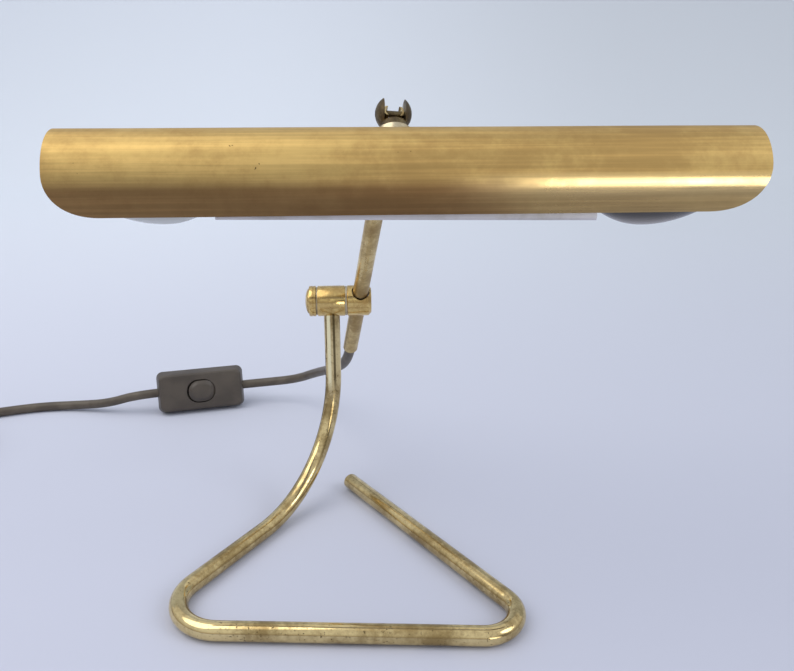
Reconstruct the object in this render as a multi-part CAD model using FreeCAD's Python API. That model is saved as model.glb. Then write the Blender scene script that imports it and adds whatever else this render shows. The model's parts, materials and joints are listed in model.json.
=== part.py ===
import FreeCAD, Part
import math
import os

from FreeCAD import Vector

# Piano lamp: a bent brass rod is both foot and stem, a clamped knuckle on its top carries
# a round arm, and a slotted ball on the arm's end carries a long curved brass shade with
# two candle bulbs. Millimetres, +Z up, +X along the shade, -Y towards the keyboard side.
# The origin is the middle of the lamp's box, without its cord, on the table.

# Foot and stem, one bent rod
rod_d = 10.0
stem_x = -48.3
stem_y = 63.2
left_leg = 178.0
left_leg_turn = 30.5
front_run = 209.7
front_turn = -1.6
right_leg = 189.7
right_leg_turn = 35.5
left_corner_r = 25.0
right_corner_r = 18.0
stem_bend_r = 76.0
rod_tip_r = 1.8

# Knuckle on the stem's top
knuckle_z = 128.7
knuckle_turn = 3.5
barrel_d = 19.0
barrel_len = 17.3
barrel_edge = 0.5
socket_depth = 5.0
knob_len = 4.4
knob_dome = 2.6
knob_rim = 0.9
knob_washer_d = 17.4
knob_washer_t = 0.6
slip_washer_d = 18.2
slip_washer_t = 1.0
holder_len = 15.0
holder_wall = 1.6
holder_edge = 1.8
holder_hole_play = 0.8
bolt_d = 6.0
bolt_in_knob = 3.4
eye_d = 13.4

# Arm
arm_d = 9.6
arm_wall = 0.8
arm_above = 149.1
arm_below = 54.0
arm_lean = 37.2
arm_side_lean = 6.4
cheek_w = 6.0
cheek_start = 9.6
cheek_past_pin = 2.2
bush_len = 12.0

# Ball joint and stud
ball_d = 17.5
slot_floor = 6.2
ball_neck_d = 12.0
ball_foot = 11.0
pin_d = 3.0
pin_len = 15.0
stud_d = 8.0
stud_bore_d = 5.4
stud_top = 6.6
saddle_d = 17.0
saddle_t = 1.9
stud_turn = 42.0

# Shade
shade_turn = 3.4
shade_r = 22.0
shade_t = 0.8
shade_len = 316.4
shade_offset = 7.3
shade_front = 132.1
shade_back = 80.0
left_front_corner = 20.5
right_front_corner = 24.0
back_corner = 17.0

# Tray with the lampholders
tray_len = 171.0
tray_offset = 4.9
tray_tilt = 0.7
tray_w = 29.0
tray_top = 3.0
tray_floor = -17.6
tray_t = 0.8
tray_bend_r = 1.6
bulb_drop = 4.4
holder_out = 4.0
holder_body_d = 24.0
holder_body_len = 40.0
mouth_d = 22.0
mouth_rim = 1.2
mouth_depth = 5.0
cap_d = 13.9
cap_len = 24.0
sleeve_t = 0.4
contact_t = 0.6
bulb_d = 35.0
bulb_len = 63.0
bulb_bulge_at = 21.0
bulb_neck_d = 18.0
neck_flare = 1.3
glass_t = 0.8
hanger_t = 1.2
hanger_half = 22.0
hanger_tab = 8.0
hanger_front = 7.0
hanger_back = 4.2
hanger_space = 1.7
nut_d = 13.6
nut_t = 4.2
screw_d = 3.0
screw_head_d = 6.0
screw_head_t = 1.8
block_at = 10.0
block_len = 30.0
block_w = 16.0
block_h = 11.0
wire_d = 2.2
wire_bend_r = 4.0
wire_apart = 4.0

# Cord, with its switch and plug
cord_d = 7.0
cord_straight = 24.0
lead_up = 24.0
lead_drop_run = 18.5
switch_len = 68.0
switch_h = 33.0
switch_front_t = 10.0
switch_back_t = 10.0
switch_wall = 1.8
switch_draft = 2.0
switch_corner = 5.0
switch_turn = 15.3
switch_x = -168.2
switch_y = 189.6
rocker_w = 20.6
rocker_h = 17.0
rocker_low = 3.6
rocker_tilt = 7.0
rocker_play = 0.9
rocker_pin_d = 2.4
rocker_pin_z = 4.8
ear_t = 2.0
coil_r = 50.0
coil_pitch = 7.9
coil_step = 7.5
coil_turns = 5.174
coil_x = -362.0
coil_y = 98.0
coil_start = 117.5
contact_near = 11.0
contact_far = 24.0
contact_side = 4.2
contact_w = 3.2
contact_h = 6.0
plug_len = 36.0
plug_w = 34.0
plug_waist = 15.0
plug_t = 14.0
plug_pin_d = 4.0
plug_pin_len = 19.0
plug_pin_gap = 18.6
pin_root_d = 3.0
pin_neck = 0.6
pin_root = 8.0
relief_len = 22.0
plug_x = -415.2
plug_y = 44.0
plug_turn = 183.4

# Clearances
fit = 0.05
run_gap = 0.1
press_gap = 0.02
loose_gap = 0.3
core_gap = 0.6

os.makedirs("parts", exist_ok=True)
built = {}


def save(name, *solids):
    shape = solids[0] if len(solids) == 1 else Part.makeCompound(list(solids))
    shape.exportStep("parts/" + name + ".step")
    built[name] = shape


def unit(vector):
    return vector * (1.0 / vector.Length)


def heading(degrees):
    """Level direction, turned from +Y towards +X."""
    angle = math.radians(degrees)
    return Vector(math.sin(angle), math.cos(angle), 0)


def seat(shape, origin, along, across):
    """Move a shape drawn about +Z at the origin to an axis in the lamp."""
    z_dir = unit(along)
    x_dir = unit(across - z_dir * across.dot(z_dir))
    turn = FreeCAD.Rotation(x_dir, z_dir.cross(x_dir), z_dir, "ZXY")
    return shape.transformed(FreeCAD.Placement(origin, turn).toMatrix())


def rod(diameter, start, end):
    return Part.makeCylinder(diameter / 2, (end - start).Length, start, end - start)


def turned(outline):
    """Solid of revolution about +Z of an outline of (radius, height) points."""
    points = [Vector(radius, 0, height) for radius, height in outline]
    face = Part.Face(Part.makePolygon(points + points[:1]))
    return face.revolve(Vector(0, 0, 0), Vector(0, 0, 1), 360)


def ring(outer_d, inner_d, low, high):
    return turned([(inner_d / 2, low), (outer_d / 2, low), (outer_d / 2, high), (inner_d / 2, high)])


def box(x_low, x_high, y_low, y_high, z_low, z_high):
    corner = Vector(x_low, y_low, z_low)
    return Part.makeBox(x_high - x_low, y_high - y_low, z_high - z_low, corner)


def rounded_path(points, radii):
    """Straight runs joined by tangent arcs, one radius for each inner point."""
    edges = []
    here = points[0]
    for index, radius in enumerate(radii):
        corner = points[index + 1]
        back = unit(points[index] - corner)
        ahead = unit(points[index + 2] - corner)
        half = back.getAngle(ahead) / 2
        start = corner + back * (radius / math.tan(half))
        end = corner + ahead * (radius / math.tan(half))
        middle = unit(back + ahead)
        top = corner + middle * (radius / math.sin(half) - radius)
        edges.append(Part.LineSegment(here, start).toShape())
        edges.append(Part.Arc(start, top, end).toShape())
        here = end
    edges.append(Part.LineSegment(here, points[-1]).toShape())
    return Part.Wire(edges)


def swept(path, diameter):
    first = path.OrderedEdges[0]
    start = first.valueAt(first.FirstParameter)
    tangent = first.tangentAt(first.FirstParameter)
    if (path.OrderedVertexes[0].Point - start).Length > fit:
        start = first.valueAt(first.LastParameter)
        tangent = first.tangentAt(first.LastParameter) * -1
    circle = Part.Wire(Part.makeCircle(diameter / 2, start, tangent))
    return path.makePipeShell([circle], True, False)


# Foot and stem
left_way = heading(left_leg_turn)
stem_foot = Vector(stem_x, stem_y, rod_d / 2)
left_corner = stem_foot - left_way * left_leg
right_corner = left_corner + heading(90 - front_turn) * front_run
free_end = right_corner + heading(-right_leg_turn) * right_leg
knuckle = Vector(stem_x, stem_y, knuckle_z)
stem_top = knuckle - Vector(0, 0, barrel_d / 2 - socket_depth)


def foot_rod():
    path = rounded_path([free_end, right_corner, left_corner, stem_foot, stem_top],
                        [right_corner_r, left_corner_r, stem_bend_r])
    solid = swept(path, rod_d)
    tip = [edge for edge in solid.Edges if (edge.CenterOfMass - free_end).Length < rod_d / 4]
    return solid.makeFillet(rod_tip_r, tip)


save("foot_rod", foot_rod())

# Knuckle: u runs along its axis, from the clamp knob to the arm holder
u_way = heading(90 - knuckle_turn)
up = Vector(0, 0, 1)
barrel_half = barrel_len / 2
washer_start = barrel_half + run_gap / 2
holder_start = washer_start + slip_washer_t + run_gap / 2
knob_start = barrel_half + knob_washer_t + run_gap
arm_station = holder_start + holder_len / 2


def on_knuckle(shape):
    return seat(shape, knuckle, u_way, up)


def knuckle_barrel():
    outer = barrel_d / 2
    body = turned([(bolt_d / 2 + fit, -barrel_half), (outer - barrel_edge, -barrel_half),
                   (outer, -barrel_half + barrel_edge), (outer, barrel_half - barrel_edge),
                   (outer - barrel_edge, barrel_half), (bolt_d / 2 + fit, barrel_half)])
    socket = rod(rod_d + 2 * press_gap, stem_top, stem_top - up * barrel_d)
    return on_knuckle(body).cut(socket)


def clamp_knob():
    outer = barrel_d / 2
    knob_end = knob_start + knob_len
    depth = bolt_in_knob + run_gap
    arc_top = Vector(0, 0, -knob_end - knob_dome)
    shoulder = Vector(outer - barrel_edge - knob_rim, 0, -knob_end)
    dome_r = (shoulder.x ** 2 + knob_dome ** 2) / (2 * knob_dome)
    half_angle = math.asin(shoulder.x / dome_r) / 2
    sag = arc_top + Vector(dome_r * math.sin(half_angle), 0, dome_r * (1 - math.cos(half_angle)))
    points = [Vector(bolt_d / 2 + fit, 0, -knob_start), Vector(outer, 0, -knob_start),
              Vector(outer, 0, -knob_end + barrel_edge), Vector(outer - barrel_edge, 0, -knob_end), shoulder]
    edges = [Part.LineSegment(a, b).toShape() for a, b in zip(points, points[1:])]
    edges.append(Part.Arc(shoulder, sag, arc_top).toShape())
    inner = [arc_top, Vector(0, 0, -knob_start - depth),
             Vector(bolt_d / 2 + fit, 0, -knob_start - depth), points[0]]
    edges += [Part.LineSegment(a, b).toShape() for a, b in zip(inner, inner[1:])]
    face = Part.Face(Part.Wire(edges))
    return on_knuckle(face.revolve(Vector(0, 0, 0), up, 360))


save("knuckle_barrel", knuckle_barrel())
save("knob_washer", on_knuckle(ring(knob_washer_d, bolt_d + 2 * loose_gap,
                                    -barrel_half - knob_washer_t, -barrel_half)))
save("slip_washer", on_knuckle(ring(slip_washer_d, bolt_d + 2 * loose_gap,
                                    barrel_half, barrel_half + slip_washer_t)))
save("clamp_knob", clamp_knob())

# Arm: it crosses the knuckle's axis and leans towards the keyboard side
level_way = unit(u_way.cross(up))
arm_cross = knuckle + u_way * arm_station
lean = math.radians(arm_lean)
side = math.radians(arm_side_lean)
arm_way = (level_way * math.sin(lean) + up * math.cos(lean)) * math.cos(side) + u_way * math.sin(side)
ball = arm_cross + arm_way * arm_above
arm_end = arm_cross - arm_way * arm_below

# Stud, ball and pin: the pin stands square to the arm and to the stud
shade_way = heading(90 - shade_turn)
shade_back_way = unit(up.cross(shade_way))
tip_angle = math.radians(stud_turn)
stud_way = shade_back_way * math.sin(tip_angle) + up * math.cos(tip_angle)
pin_way = unit(stud_way.cross(arm_way))
ball_to_shade = ball_foot + run_gap + saddle_t
shade_centre = ball - stud_way * (ball_to_shade + shade_r)


def on_arm(shape):
    return seat(shape, ball, arm_way, pin_way)


def arm_holder():
    outer = barrel_d / 2
    cavity = eye_d / 2 + fit
    end = holder_start + holder_len
    body = turned([(cavity, holder_start), (outer - barrel_edge, holder_start),
                   (outer, holder_start + barrel_edge), (outer, end - holder_edge),
                   (outer - holder_edge, end), (0, end), (0, end - holder_wall), (cavity, end - holder_wall)])
    hole = rod(arm_d + 2 * holder_hole_play, arm_cross - arm_way * barrel_d, arm_cross + arm_way * barrel_d)
    return on_knuckle(body).cut(hole)


def eye_bolt():
    eye_end = holder_start + holder_len - holder_wall - fit
    shank = turned([(0, -knob_start - bolt_in_knob), (bolt_d / 2, -knob_start - bolt_in_knob),
                    (bolt_d / 2, holder_start), (eye_d / 2, holder_start),
                    (eye_d / 2, eye_end), (0, eye_end)])
    hole = rod(arm_d + 2 * fit, arm_cross - arm_way * barrel_d, arm_cross + arm_way * barrel_d)
    return on_knuckle(shank).cut(hole)


def arm_tube():
    outer = arm_d / 2
    bore = outer - arm_wall
    tube_len = arm_above + arm_below + cheek_past_pin
    tube = ring(arm_d, 2 * bore, -arm_above - arm_below, -arm_above - arm_below + tube_len)
    keep = box(-outer, outer, -cheek_w / 2, cheek_w / 2, -cheek_start, cheek_past_pin)
    end = box(-outer - 1, outer + 1, -outer - 1, outer + 1, -cheek_start, cheek_past_pin + 1)
    tube = tube.cut(end.cut(keep))
    tube = tube.cut(rod(pin_d + 2 * fit, Vector(-arm_d, 0, 0), Vector(arm_d, 0, 0)))
    return on_arm(tube)


save("arm_holder", arm_holder())
save("eye_bolt", eye_bolt())
save("arm_tube", arm_tube())
bush_low = -arm_above - arm_below
bore_d = arm_d - 2 * arm_wall
core_start = cheek_start + 1
save("cord_bush", on_arm(ring(bore_d - 2 * fit, cord_d + 2 * fit, bush_low, bush_low + bush_len)))
save("arm_lead", on_arm(rod(cord_d, Vector(0, 0, bush_low + lead_up), Vector(0, 0, -core_start - core_gap))))


def on_stud(shape):
    """Drawn with +Z from the ball's middle down into the shade and +X along the pin."""
    return seat(shape, ball, stud_way * -1, pin_way)


def slotted_ball():
    body = Part.makeSphere(ball_d / 2)
    neck = Part.makeCylinder(ball_neck_d / 2, ball_foot - slot_floor + 1, Vector(0, 0, slot_floor - 1))
    trim = box(-ball_d, ball_d, -ball_d, ball_d, ball_foot, 2 * ball_d)
    body = body.fuse(neck).cut(trim)
    half_slot = arm_d / 2 + loose_gap
    body = body.cut(box(-half_slot, half_slot, -ball_d, ball_d, -ball_d, slot_floor))
    body = body.cut(rod(stud_d + 2 * press_gap, Vector(0, 0, stud_top), Vector(0, 0, ball_d)))
    body = body.cut(rod(stud_bore_d + 2 * fit, Vector(0, 0, slot_floor - 1), Vector(0, 0, ball_d)))
    pin_hole = rod(pin_d + 2 * press_gap, Vector(-ball_d, 0, 0), Vector(ball_d, 0, 0))
    return on_stud(body.cut(pin_hole).removeSplitter())


save("slotted_ball", slotted_ball())
save("pivot_pin", on_stud(rod(pin_d, Vector(-pin_len / 2, 0, 0), Vector(pin_len / 2, 0, 0))))

sheet_at = ball_to_shade
plate_far = sheet_at + shade_t + hanger_space
nut_at = plate_far + hanger_t + fit
stud_end = nut_at + nut_t + 1.2
save("hollow_stud", on_stud(ring(stud_d, stud_bore_d, stud_top, stud_end)))
nut_outline = [FreeCAD.Rotation(up, 60 * k).multVec(Vector(nut_d / 2, 0, nut_at)) for k in range(6)]
nut = Part.Face(Part.makePolygon(nut_outline + nut_outline[:1])).extrude(Vector(0, 0, nut_t))
nut = nut.cut(rod(stud_d + 2 * press_gap, Vector(0, 0, 0), Vector(0, 0, 2 * stud_end)))
save("stud_nut", on_stud(nut))


def joint_wires():
    """Two cores leave the arm's bore under the pin and turn down the hollow stud."""
    pair = []
    for step in (-1, 1):
        shift = pin_way * (step * (wire_d / 2 + run_gap))
        into = stud_way * -1
        start = ball - arm_way * core_start + into * (wire_d + fit) + shift
        bend = ball + into * (wire_d + fit) + shift
        foot = ball + into * stud_end + shift
        path = rounded_path([start, bend, foot], [5.6])
        pair.append(swept(path, wire_d))
    return pair


save("joint_wires", *joint_wires())


tray_spin = FreeCAD.Rotation(Vector(0, 1, 0), tray_tilt)


# Shade: drawn with X along it, Y to the back and Z up, about the cylinder's axis
def in_shade(shape):
    return seat(shape, shade_centre, up, shade_way)


def stud_in_shade(shape):
    """From the stud's own axis, +Z outwards through the sheet, into the shade's frame."""
    spin = FreeCAD.Rotation(Vector(1, 0, 0), -stud_turn)
    return shape.transformed(FreeCAD.Placement(Vector(0, 0, 0), spin).toMatrix())


def tray_turned(shape):
    """From the tray's own frame, which hangs a little lower at its right end, into the shade's."""
    return shape.transformed(FreeCAD.Placement(Vector(0, 0, 0), tray_spin).toMatrix())


def in_tray(shape):
    return in_shade(tray_turned(shape))


def arc_wall(outer_r, inner_r, front, back, x_low, x_high):
    """Part of a tube about X, from front to back degrees each side of the top."""
    def at(radius, degrees):
        angle = math.radians(degrees)
        return Vector(x_low, -radius * math.sin(angle), radius * math.cos(angle))
    middle = (front - back) / 2
    quarter = (front + middle) / 2
    other = (middle - back) / 2
    edges = [Part.Arc(at(outer_r, front), at(outer_r, quarter), at(outer_r, middle)).toShape(),
             Part.Arc(at(outer_r, middle), at(outer_r, other), at(outer_r, -back)).toShape(),
             Part.LineSegment(at(outer_r, -back), at(inner_r, -back)).toShape(),
             Part.Arc(at(inner_r, -back), at(inner_r, other), at(inner_r, middle)).toShape(),
             Part.Arc(at(inner_r, middle), at(inner_r, quarter), at(inner_r, front)).toShape(),
             Part.LineSegment(at(inner_r, front), at(outer_r, front)).toShape()]
    return Part.Face(Part.Wire(edges)).extrude(Vector(x_high - x_low, 0, 0))


def corner_cutter(edge_angle, end_x, inward, corner):
    """What rounds one corner of the sheet: a block less a cylinder, set square to the wall."""
    reach = math.degrees(corner / shade_r)
    sign = 1 if edge_angle > 0 else -1
    face_angle = math.radians(edge_angle - sign * reach * 0.62)
    normal = Vector(0, -math.sin(face_angle), math.cos(face_angle))
    along_edge = Vector(1, 0, 0)
    across = normal.cross(along_edge) * (-sign)
    rim_angle = math.radians(edge_angle)
    rim = Vector(0, -math.sin(rim_angle), math.cos(rim_angle)) * shade_r
    rim_out = rim.dot(across)
    centre = across * (rim_out - corner) + along_edge * (end_x + inward * corner)
    block = Part.makeBox(2 * corner, 2 * corner, 3 * shade_r)
    block = seat(block, centre, normal, along_edge * (-inward))
    wanted = centre + (along_edge * (-inward) + across) * corner
    if (block.CenterOfMass - normal * (1.5 * shade_r) - wanted).Length > fit:
        block = Part.makeBox(2 * corner, 2 * corner, 3 * shade_r, Vector(0, -2 * corner, 0))
        block = seat(block, centre, normal, along_edge * (-inward))
    post = Part.makeCylinder(corner, 4 * shade_r, centre - normal * (shade_r / 2), normal)
    return block.cut(post)


shade_low = shade_offset - shade_len / 2
shade_high = shade_offset + shade_len / 2


def shade_sheet():
    sheet = arc_wall(shade_r, shade_r - shade_t, shade_front, shade_back, shade_low, shade_high)
    sheet = sheet.cut(corner_cutter(shade_front, shade_low, 1, left_front_corner))
    sheet = sheet.cut(corner_cutter(shade_front, shade_high, -1, right_front_corner))
    for end_x, inward in ((shade_low, 1), (shade_high, -1)):
        sheet = sheet.cut(corner_cutter(-shade_back, end_x, inward, back_corner))
    hole = stud_in_shade(rod(stud_d + 2 * fit, Vector(0, 0, 0), Vector(0, 0, 2 * shade_r)))
    return sheet.cut(hole)


def saddle_washer():
    top = shade_r + saddle_t
    disc = stud_in_shade(ring(saddle_d, stud_d + 2 * fit, shade_r / 2, top))
    wall = Part.makeCylinder(shade_r + press_gap, 2 * saddle_d, Vector(-saddle_d, 0, 0), Vector(1, 0, 0))
    return disc.cut(wall)


save("shade_sheet", in_shade(shade_sheet()))
save("saddle_washer", in_shade(saddle_washer()))

# Tray and what it holds
tray_low = tray_offset - tray_len / 2
tray_high = tray_offset + tray_len / 2
half_w = tray_w / 2
hanger_y = half_w + press_gap
screw_z = -7.0


def lamp_tray():
    body = box(tray_low, tray_high, -half_w, half_w, tray_floor, tray_top)
    bends = [edge for edge in body.Edges
             if abs(edge.BoundBox.ZMax - tray_floor) < fit and edge.BoundBox.XLength > tray_w]
    body = body.makeFillet(tray_bend_r, bends)
    inside = box(tray_low + tray_t, tray_high - tray_t, -half_w + tray_t, half_w - tray_t,
                 tray_floor + tray_t, tray_top + 1)
    body = body.cut(inside)
    body = body.cut(rod(holder_body_d + 2 * press_gap, Vector(tray_low - 1, 0, -bulb_drop),
                        Vector(tray_high + 1, 0, -bulb_drop)))
    for sign in (-1, 1):
        x = sign * (hanger_half - hanger_tab / 2)
        body = body.cut(rod(screw_d + 2 * press_gap, Vector(x, 0, screw_z), Vector(x, tray_w, screw_z)))
    return body


def hanger():
    """Cross plate on the stud with a tab at each end, screwed to the tray's back wall."""
    top = shade_r + ball_to_shade - plate_far
    body = stud_in_shade(box(-hanger_half, hanger_half, -hanger_front, hanger_back, top - hanger_t, top))
    for sign in (-1, 1):
        x = sign * (hanger_half - hanger_tab / 2)
        tab = box(x - hanger_tab / 2, x + hanger_tab / 2, hanger_y, hanger_y + hanger_t, screw_z - 4, 12.0)
        screw_hole = rod(screw_d + 2 * press_gap, Vector(x, 0, screw_z), Vector(x, tray_w, screw_z))
        tab = tab.cut(tray_turned(screw_hole))
        body = body.fuse(tab)
    hole = stud_in_shade(rod(stud_d + 2 * fit, Vector(0, 0, 0), Vector(0, 0, 2 * shade_r)))
    return body.cut(hole).removeSplitter()


save("lamp_tray", in_tray(lamp_tray()))
save("tray_hanger", in_shade(hanger()))


def tray_screws():
    screws = []
    for sign in (-1, 1):
        x = sign * (hanger_half - hanger_tab / 2)
        head_y = hanger_y + hanger_t
        shank = rod(screw_d, Vector(x, half_w - 4, screw_z), Vector(x, head_y, screw_z))
        head = rod(screw_head_d, Vector(x, head_y, screw_z), Vector(x, head_y + screw_head_t, screw_z))
        slot = box(x - screw_head_d, x + screw_head_d, head_y + screw_head_t / 2, head_y + 2 * screw_head_t,
                   screw_z - 0.5, screw_z + 0.5)
        screws.append(in_tray(shank.fuse(head).cut(slot)))
    return screws


save("tray_screws", *tray_screws())


def at_holder(shape, sign):
    """From a lampholder's mouth, +Z outwards, into the lamp."""
    mouth = Vector(tray_high + holder_out if sign > 0 else tray_low - holder_out, 0, -bulb_drop)
    return in_tray(seat(shape, mouth, Vector(sign, 0, 0), up))


sleeve_r = cap_d / 2 + fit
cap_low = -mouth_depth - cap_len
tip_len = 2.5


def lampholder():
    outer = holder_body_d / 2
    bore = sleeve_r + sleeve_t + press_gap
    back = cap_low - tip_len - contact_t
    return turned([(outer, -holder_body_len), (outer, mouth_rim), (mouth_d / 2, mouth_rim),
                   (mouth_d / 2, -mouth_depth),
                   (bore, -mouth_depth), (bore, back), (0, back), (0, -holder_body_len)])


# Shares of the bulge's radius, and of the length past it
candle_shape = ((0.82, 0.33), (0.5, 0.65), (0.24, 0.875))


def bulb_glass():
    """Candle shape: neck, bulge and a drawn-out tip, as a shell."""
    def skin(off):
        neck = bulb_neck_d / 2 - off
        low = -mouth_depth + press_gap
        past = bulb_len - bulb_bulge_at
        points = [(neck, low), (neck + neck_flare, 0.5), (bulb_d * 0.44 - off, bulb_bulge_at * 0.5),
                  (bulb_d / 2 - off, bulb_bulge_at)]
        for wide, far in candle_shape:
            points.append((bulb_d / 2 * wide - off, bulb_bulge_at + past * far - off * far))
        points.append((0, bulb_len - off))
        vectors = [Vector(radius, 0, height) for radius, height in points]
        curve = Part.BSplineCurve()
        curve.interpolate(vectors, InitialTangent=Vector(0.2, 0, 1), FinalTangent=Vector(-1, 0, 0))
        return curve.toShape(), vectors
    outside, outer_points = skin(0)
    inside, inner_points = skin(glass_t)
    edges = [outside, Part.LineSegment(outer_points[-1], inner_points[-1]).toShape(), inside,
             Part.LineSegment(inner_points[0], outer_points[0]).toShape()]
    face = Part.Face(Part.Wire(Part.__sortEdges__(edges)))
    return face.revolve(Vector(0, 0, 0), Vector(0, 0, 1), 360)


def bulb_cap():
    """Threaded metal cap with rounded turns, and a flared rim that holds the glass."""
    outer = cap_d / 2
    low = cap_low
    outline = [(0, low), (outer - 1.2, low)]
    turns = 6
    pitch = (cap_len - 6) / turns
    for turn in range(turns):
        start = low + 1 + turn * pitch
        outline += [(outer - 0.8, start), (outer, start + pitch * 0.4), (outer - 0.8, start + pitch * 0.9)]
    outline += [(outer, -mouth_depth - 4), (outer, -mouth_depth), (0, -mouth_depth)]
    return turned(outline)


for sign, hand in ((-1, "left"), (1, "right")):
    save("lampholder_" + hand, at_holder(lampholder(), sign))
    save("thread_sleeve_" + hand, at_holder(ring(2 * (sleeve_r + sleeve_t), 2 * sleeve_r,
                                                 cap_low, -mouth_depth), sign))
    contact_low = cap_low - tip_len - contact_t
    save("centre_contact_" + hand, at_holder(ring(9.0, 1.0, contact_low, contact_low + contact_t), sign))
    save("bulb_cap_" + hand, at_holder(bulb_cap(), sign))
    save("bulb_tip_" + hand, at_holder(turned([(0, cap_low - tip_len), (2.2, cap_low - tip_len),
                                               (4.6, cap_low), (0, cap_low)]), sign))
    save("bulb_glass_" + hand, at_holder(bulb_glass(), sign))

block_low = block_at
block_floor = tray_floor + tray_t
block_top = block_floor + block_h
block_y = -3.0


def terminal_block():
    body = box(block_low, block_low + block_len, block_y - block_w / 2, block_y + block_w / 2,
               block_floor, block_top)
    for step in (-1, 1):
        y = block_y + step * block_w / 4
        body = body.cut(rod(wire_d + 0.8, Vector(block_low - 1, y, block_floor + block_h / 2),
                            Vector(block_low + block_len + 1, y, block_floor + block_h / 2)))
    return in_tray(body)


def terminal_screws():
    screws = []
    for x in (block_low + block_len / 4, block_low + block_len * 3 / 4):
        for step in (-1, 1):
            y = block_y + step * block_w / 4
            screws.append(in_tray(rod(screw_d, Vector(x, y, block_top), Vector(x, y, block_top + 1.0))))
    return screws


def tray_wires():
    """Cores from the stud to the block, and from the block to both lampholders."""
    wires = []
    mid_z = block_floor + block_h / 2
    out_of_shade = tray_spin.inverted()
    down = out_of_shade.multVec(Vector(0, -math.sin(tip_angle), -math.cos(tip_angle)))
    stud_mouth = down * (stud_end + loose_gap - ball_to_shade - shade_r)
    floor_z = block_floor + wire_d / 2 + run_gap
    right_back = tray_high + holder_out - holder_body_len - loose_gap
    left_back = tray_low - holder_out + holder_body_len + loose_gap
    lead_in = 1.4 * wire_bend_r
    for step in (-1, 1):
        y = block_y + step * block_w / 4
        side_y = step * wire_apart
        start = stud_mouth + Vector(step * (wire_d / 2 + run_gap), 0, 0)
        path = rounded_path([start, start + down * 11, Vector(-7, y, mid_z), Vector(block_low, y, mid_z)],
                            [3.5, wire_bend_r])
        wires.append(in_tray(swept(path, wire_d)))
        block_end = Vector(block_low + block_len, y, mid_z)
        ends = [Vector(x, side_y, -bulb_drop) for x in (right_back - lead_in, right_back)]
        path = rounded_path([block_end, block_end + Vector(0.8 * wire_bend_r, 0, 0)] + ends,
                            [wire_bend_r, wire_bend_r])
        wires.append(in_tray(swept(path, wire_d)))
        y_run = tray_t - half_w + wire_d * (1 if step < 0 else 2.6)
        on_floor = [Vector(x, y_run, floor_z) for x in (block_low - loose_gap, left_back + 4 * wire_bend_r)]
        ends = [Vector(x, side_y, -bulb_drop) for x in (left_back + lead_in, left_back)]
        path = rounded_path(on_floor + ends, [2 * wire_bend_r, wire_bend_r])
        wires.append(in_tray(swept(path, wire_d)))
    return wires


save("terminal_block", terminal_block())
save("terminal_screws", *terminal_screws())
save("tray_wires", *tray_wires())


# In-line switch: drawn with X along it, Y up its height and Z out of its face
switch_way = heading(90 - switch_turn)
draft = math.atan(switch_draft / switch_back_t)
face_way = switch_way.cross(up) * math.cos(draft) + up * math.sin(draft)
switch_at = Vector(switch_x, switch_y, switch_h / 2 * math.cos(draft))
cord_inside = 7.5
switch_screw_x = 19.0
switch_post_d = 5.2


def on_switch(shape):
    return seat(shape, switch_at, face_way, switch_way)


def rounded_outline(length, height, corner, z):
    """Rounded rectangle about the Z axis, as one wire."""
    half_x = length / 2
    half_y = height / 2
    corner = min(corner, half_x, half_y)
    inner_x = half_x - corner
    inner_y = half_y - corner
    edges = []
    here = Vector(inner_x, -half_y, z)
    for k, (sx, sy) in enumerate([(1, -1), (1, 1), (-1, 1), (-1, -1)]):
        centre = Vector(sx * inner_x, sy * inner_y, z)
        angles = [math.radians(90 * k - 90 + step) for step in (0, 45, 90)]
        first, middle, last = [centre + Vector(math.cos(a), math.sin(a), 0) * corner for a in angles]
        if (first - here).Length > 1e-6:
            edges.append(Part.LineSegment(here, first).toShape())
        edges.append(Part.Arc(first, middle, last).toShape())
        here = last
    start = Vector(inner_x, -half_y, z)
    if (here - start).Length > 1e-6:
        edges.append(Part.LineSegment(here, start).toShape())
    return Part.Wire(edges)


def drafted(*stages):
    """Solid through rounded rectangles of (length, height, corner, z)."""
    return Part.makeLoft([rounded_outline(*stage) for stage in stages], True, True)


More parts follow.
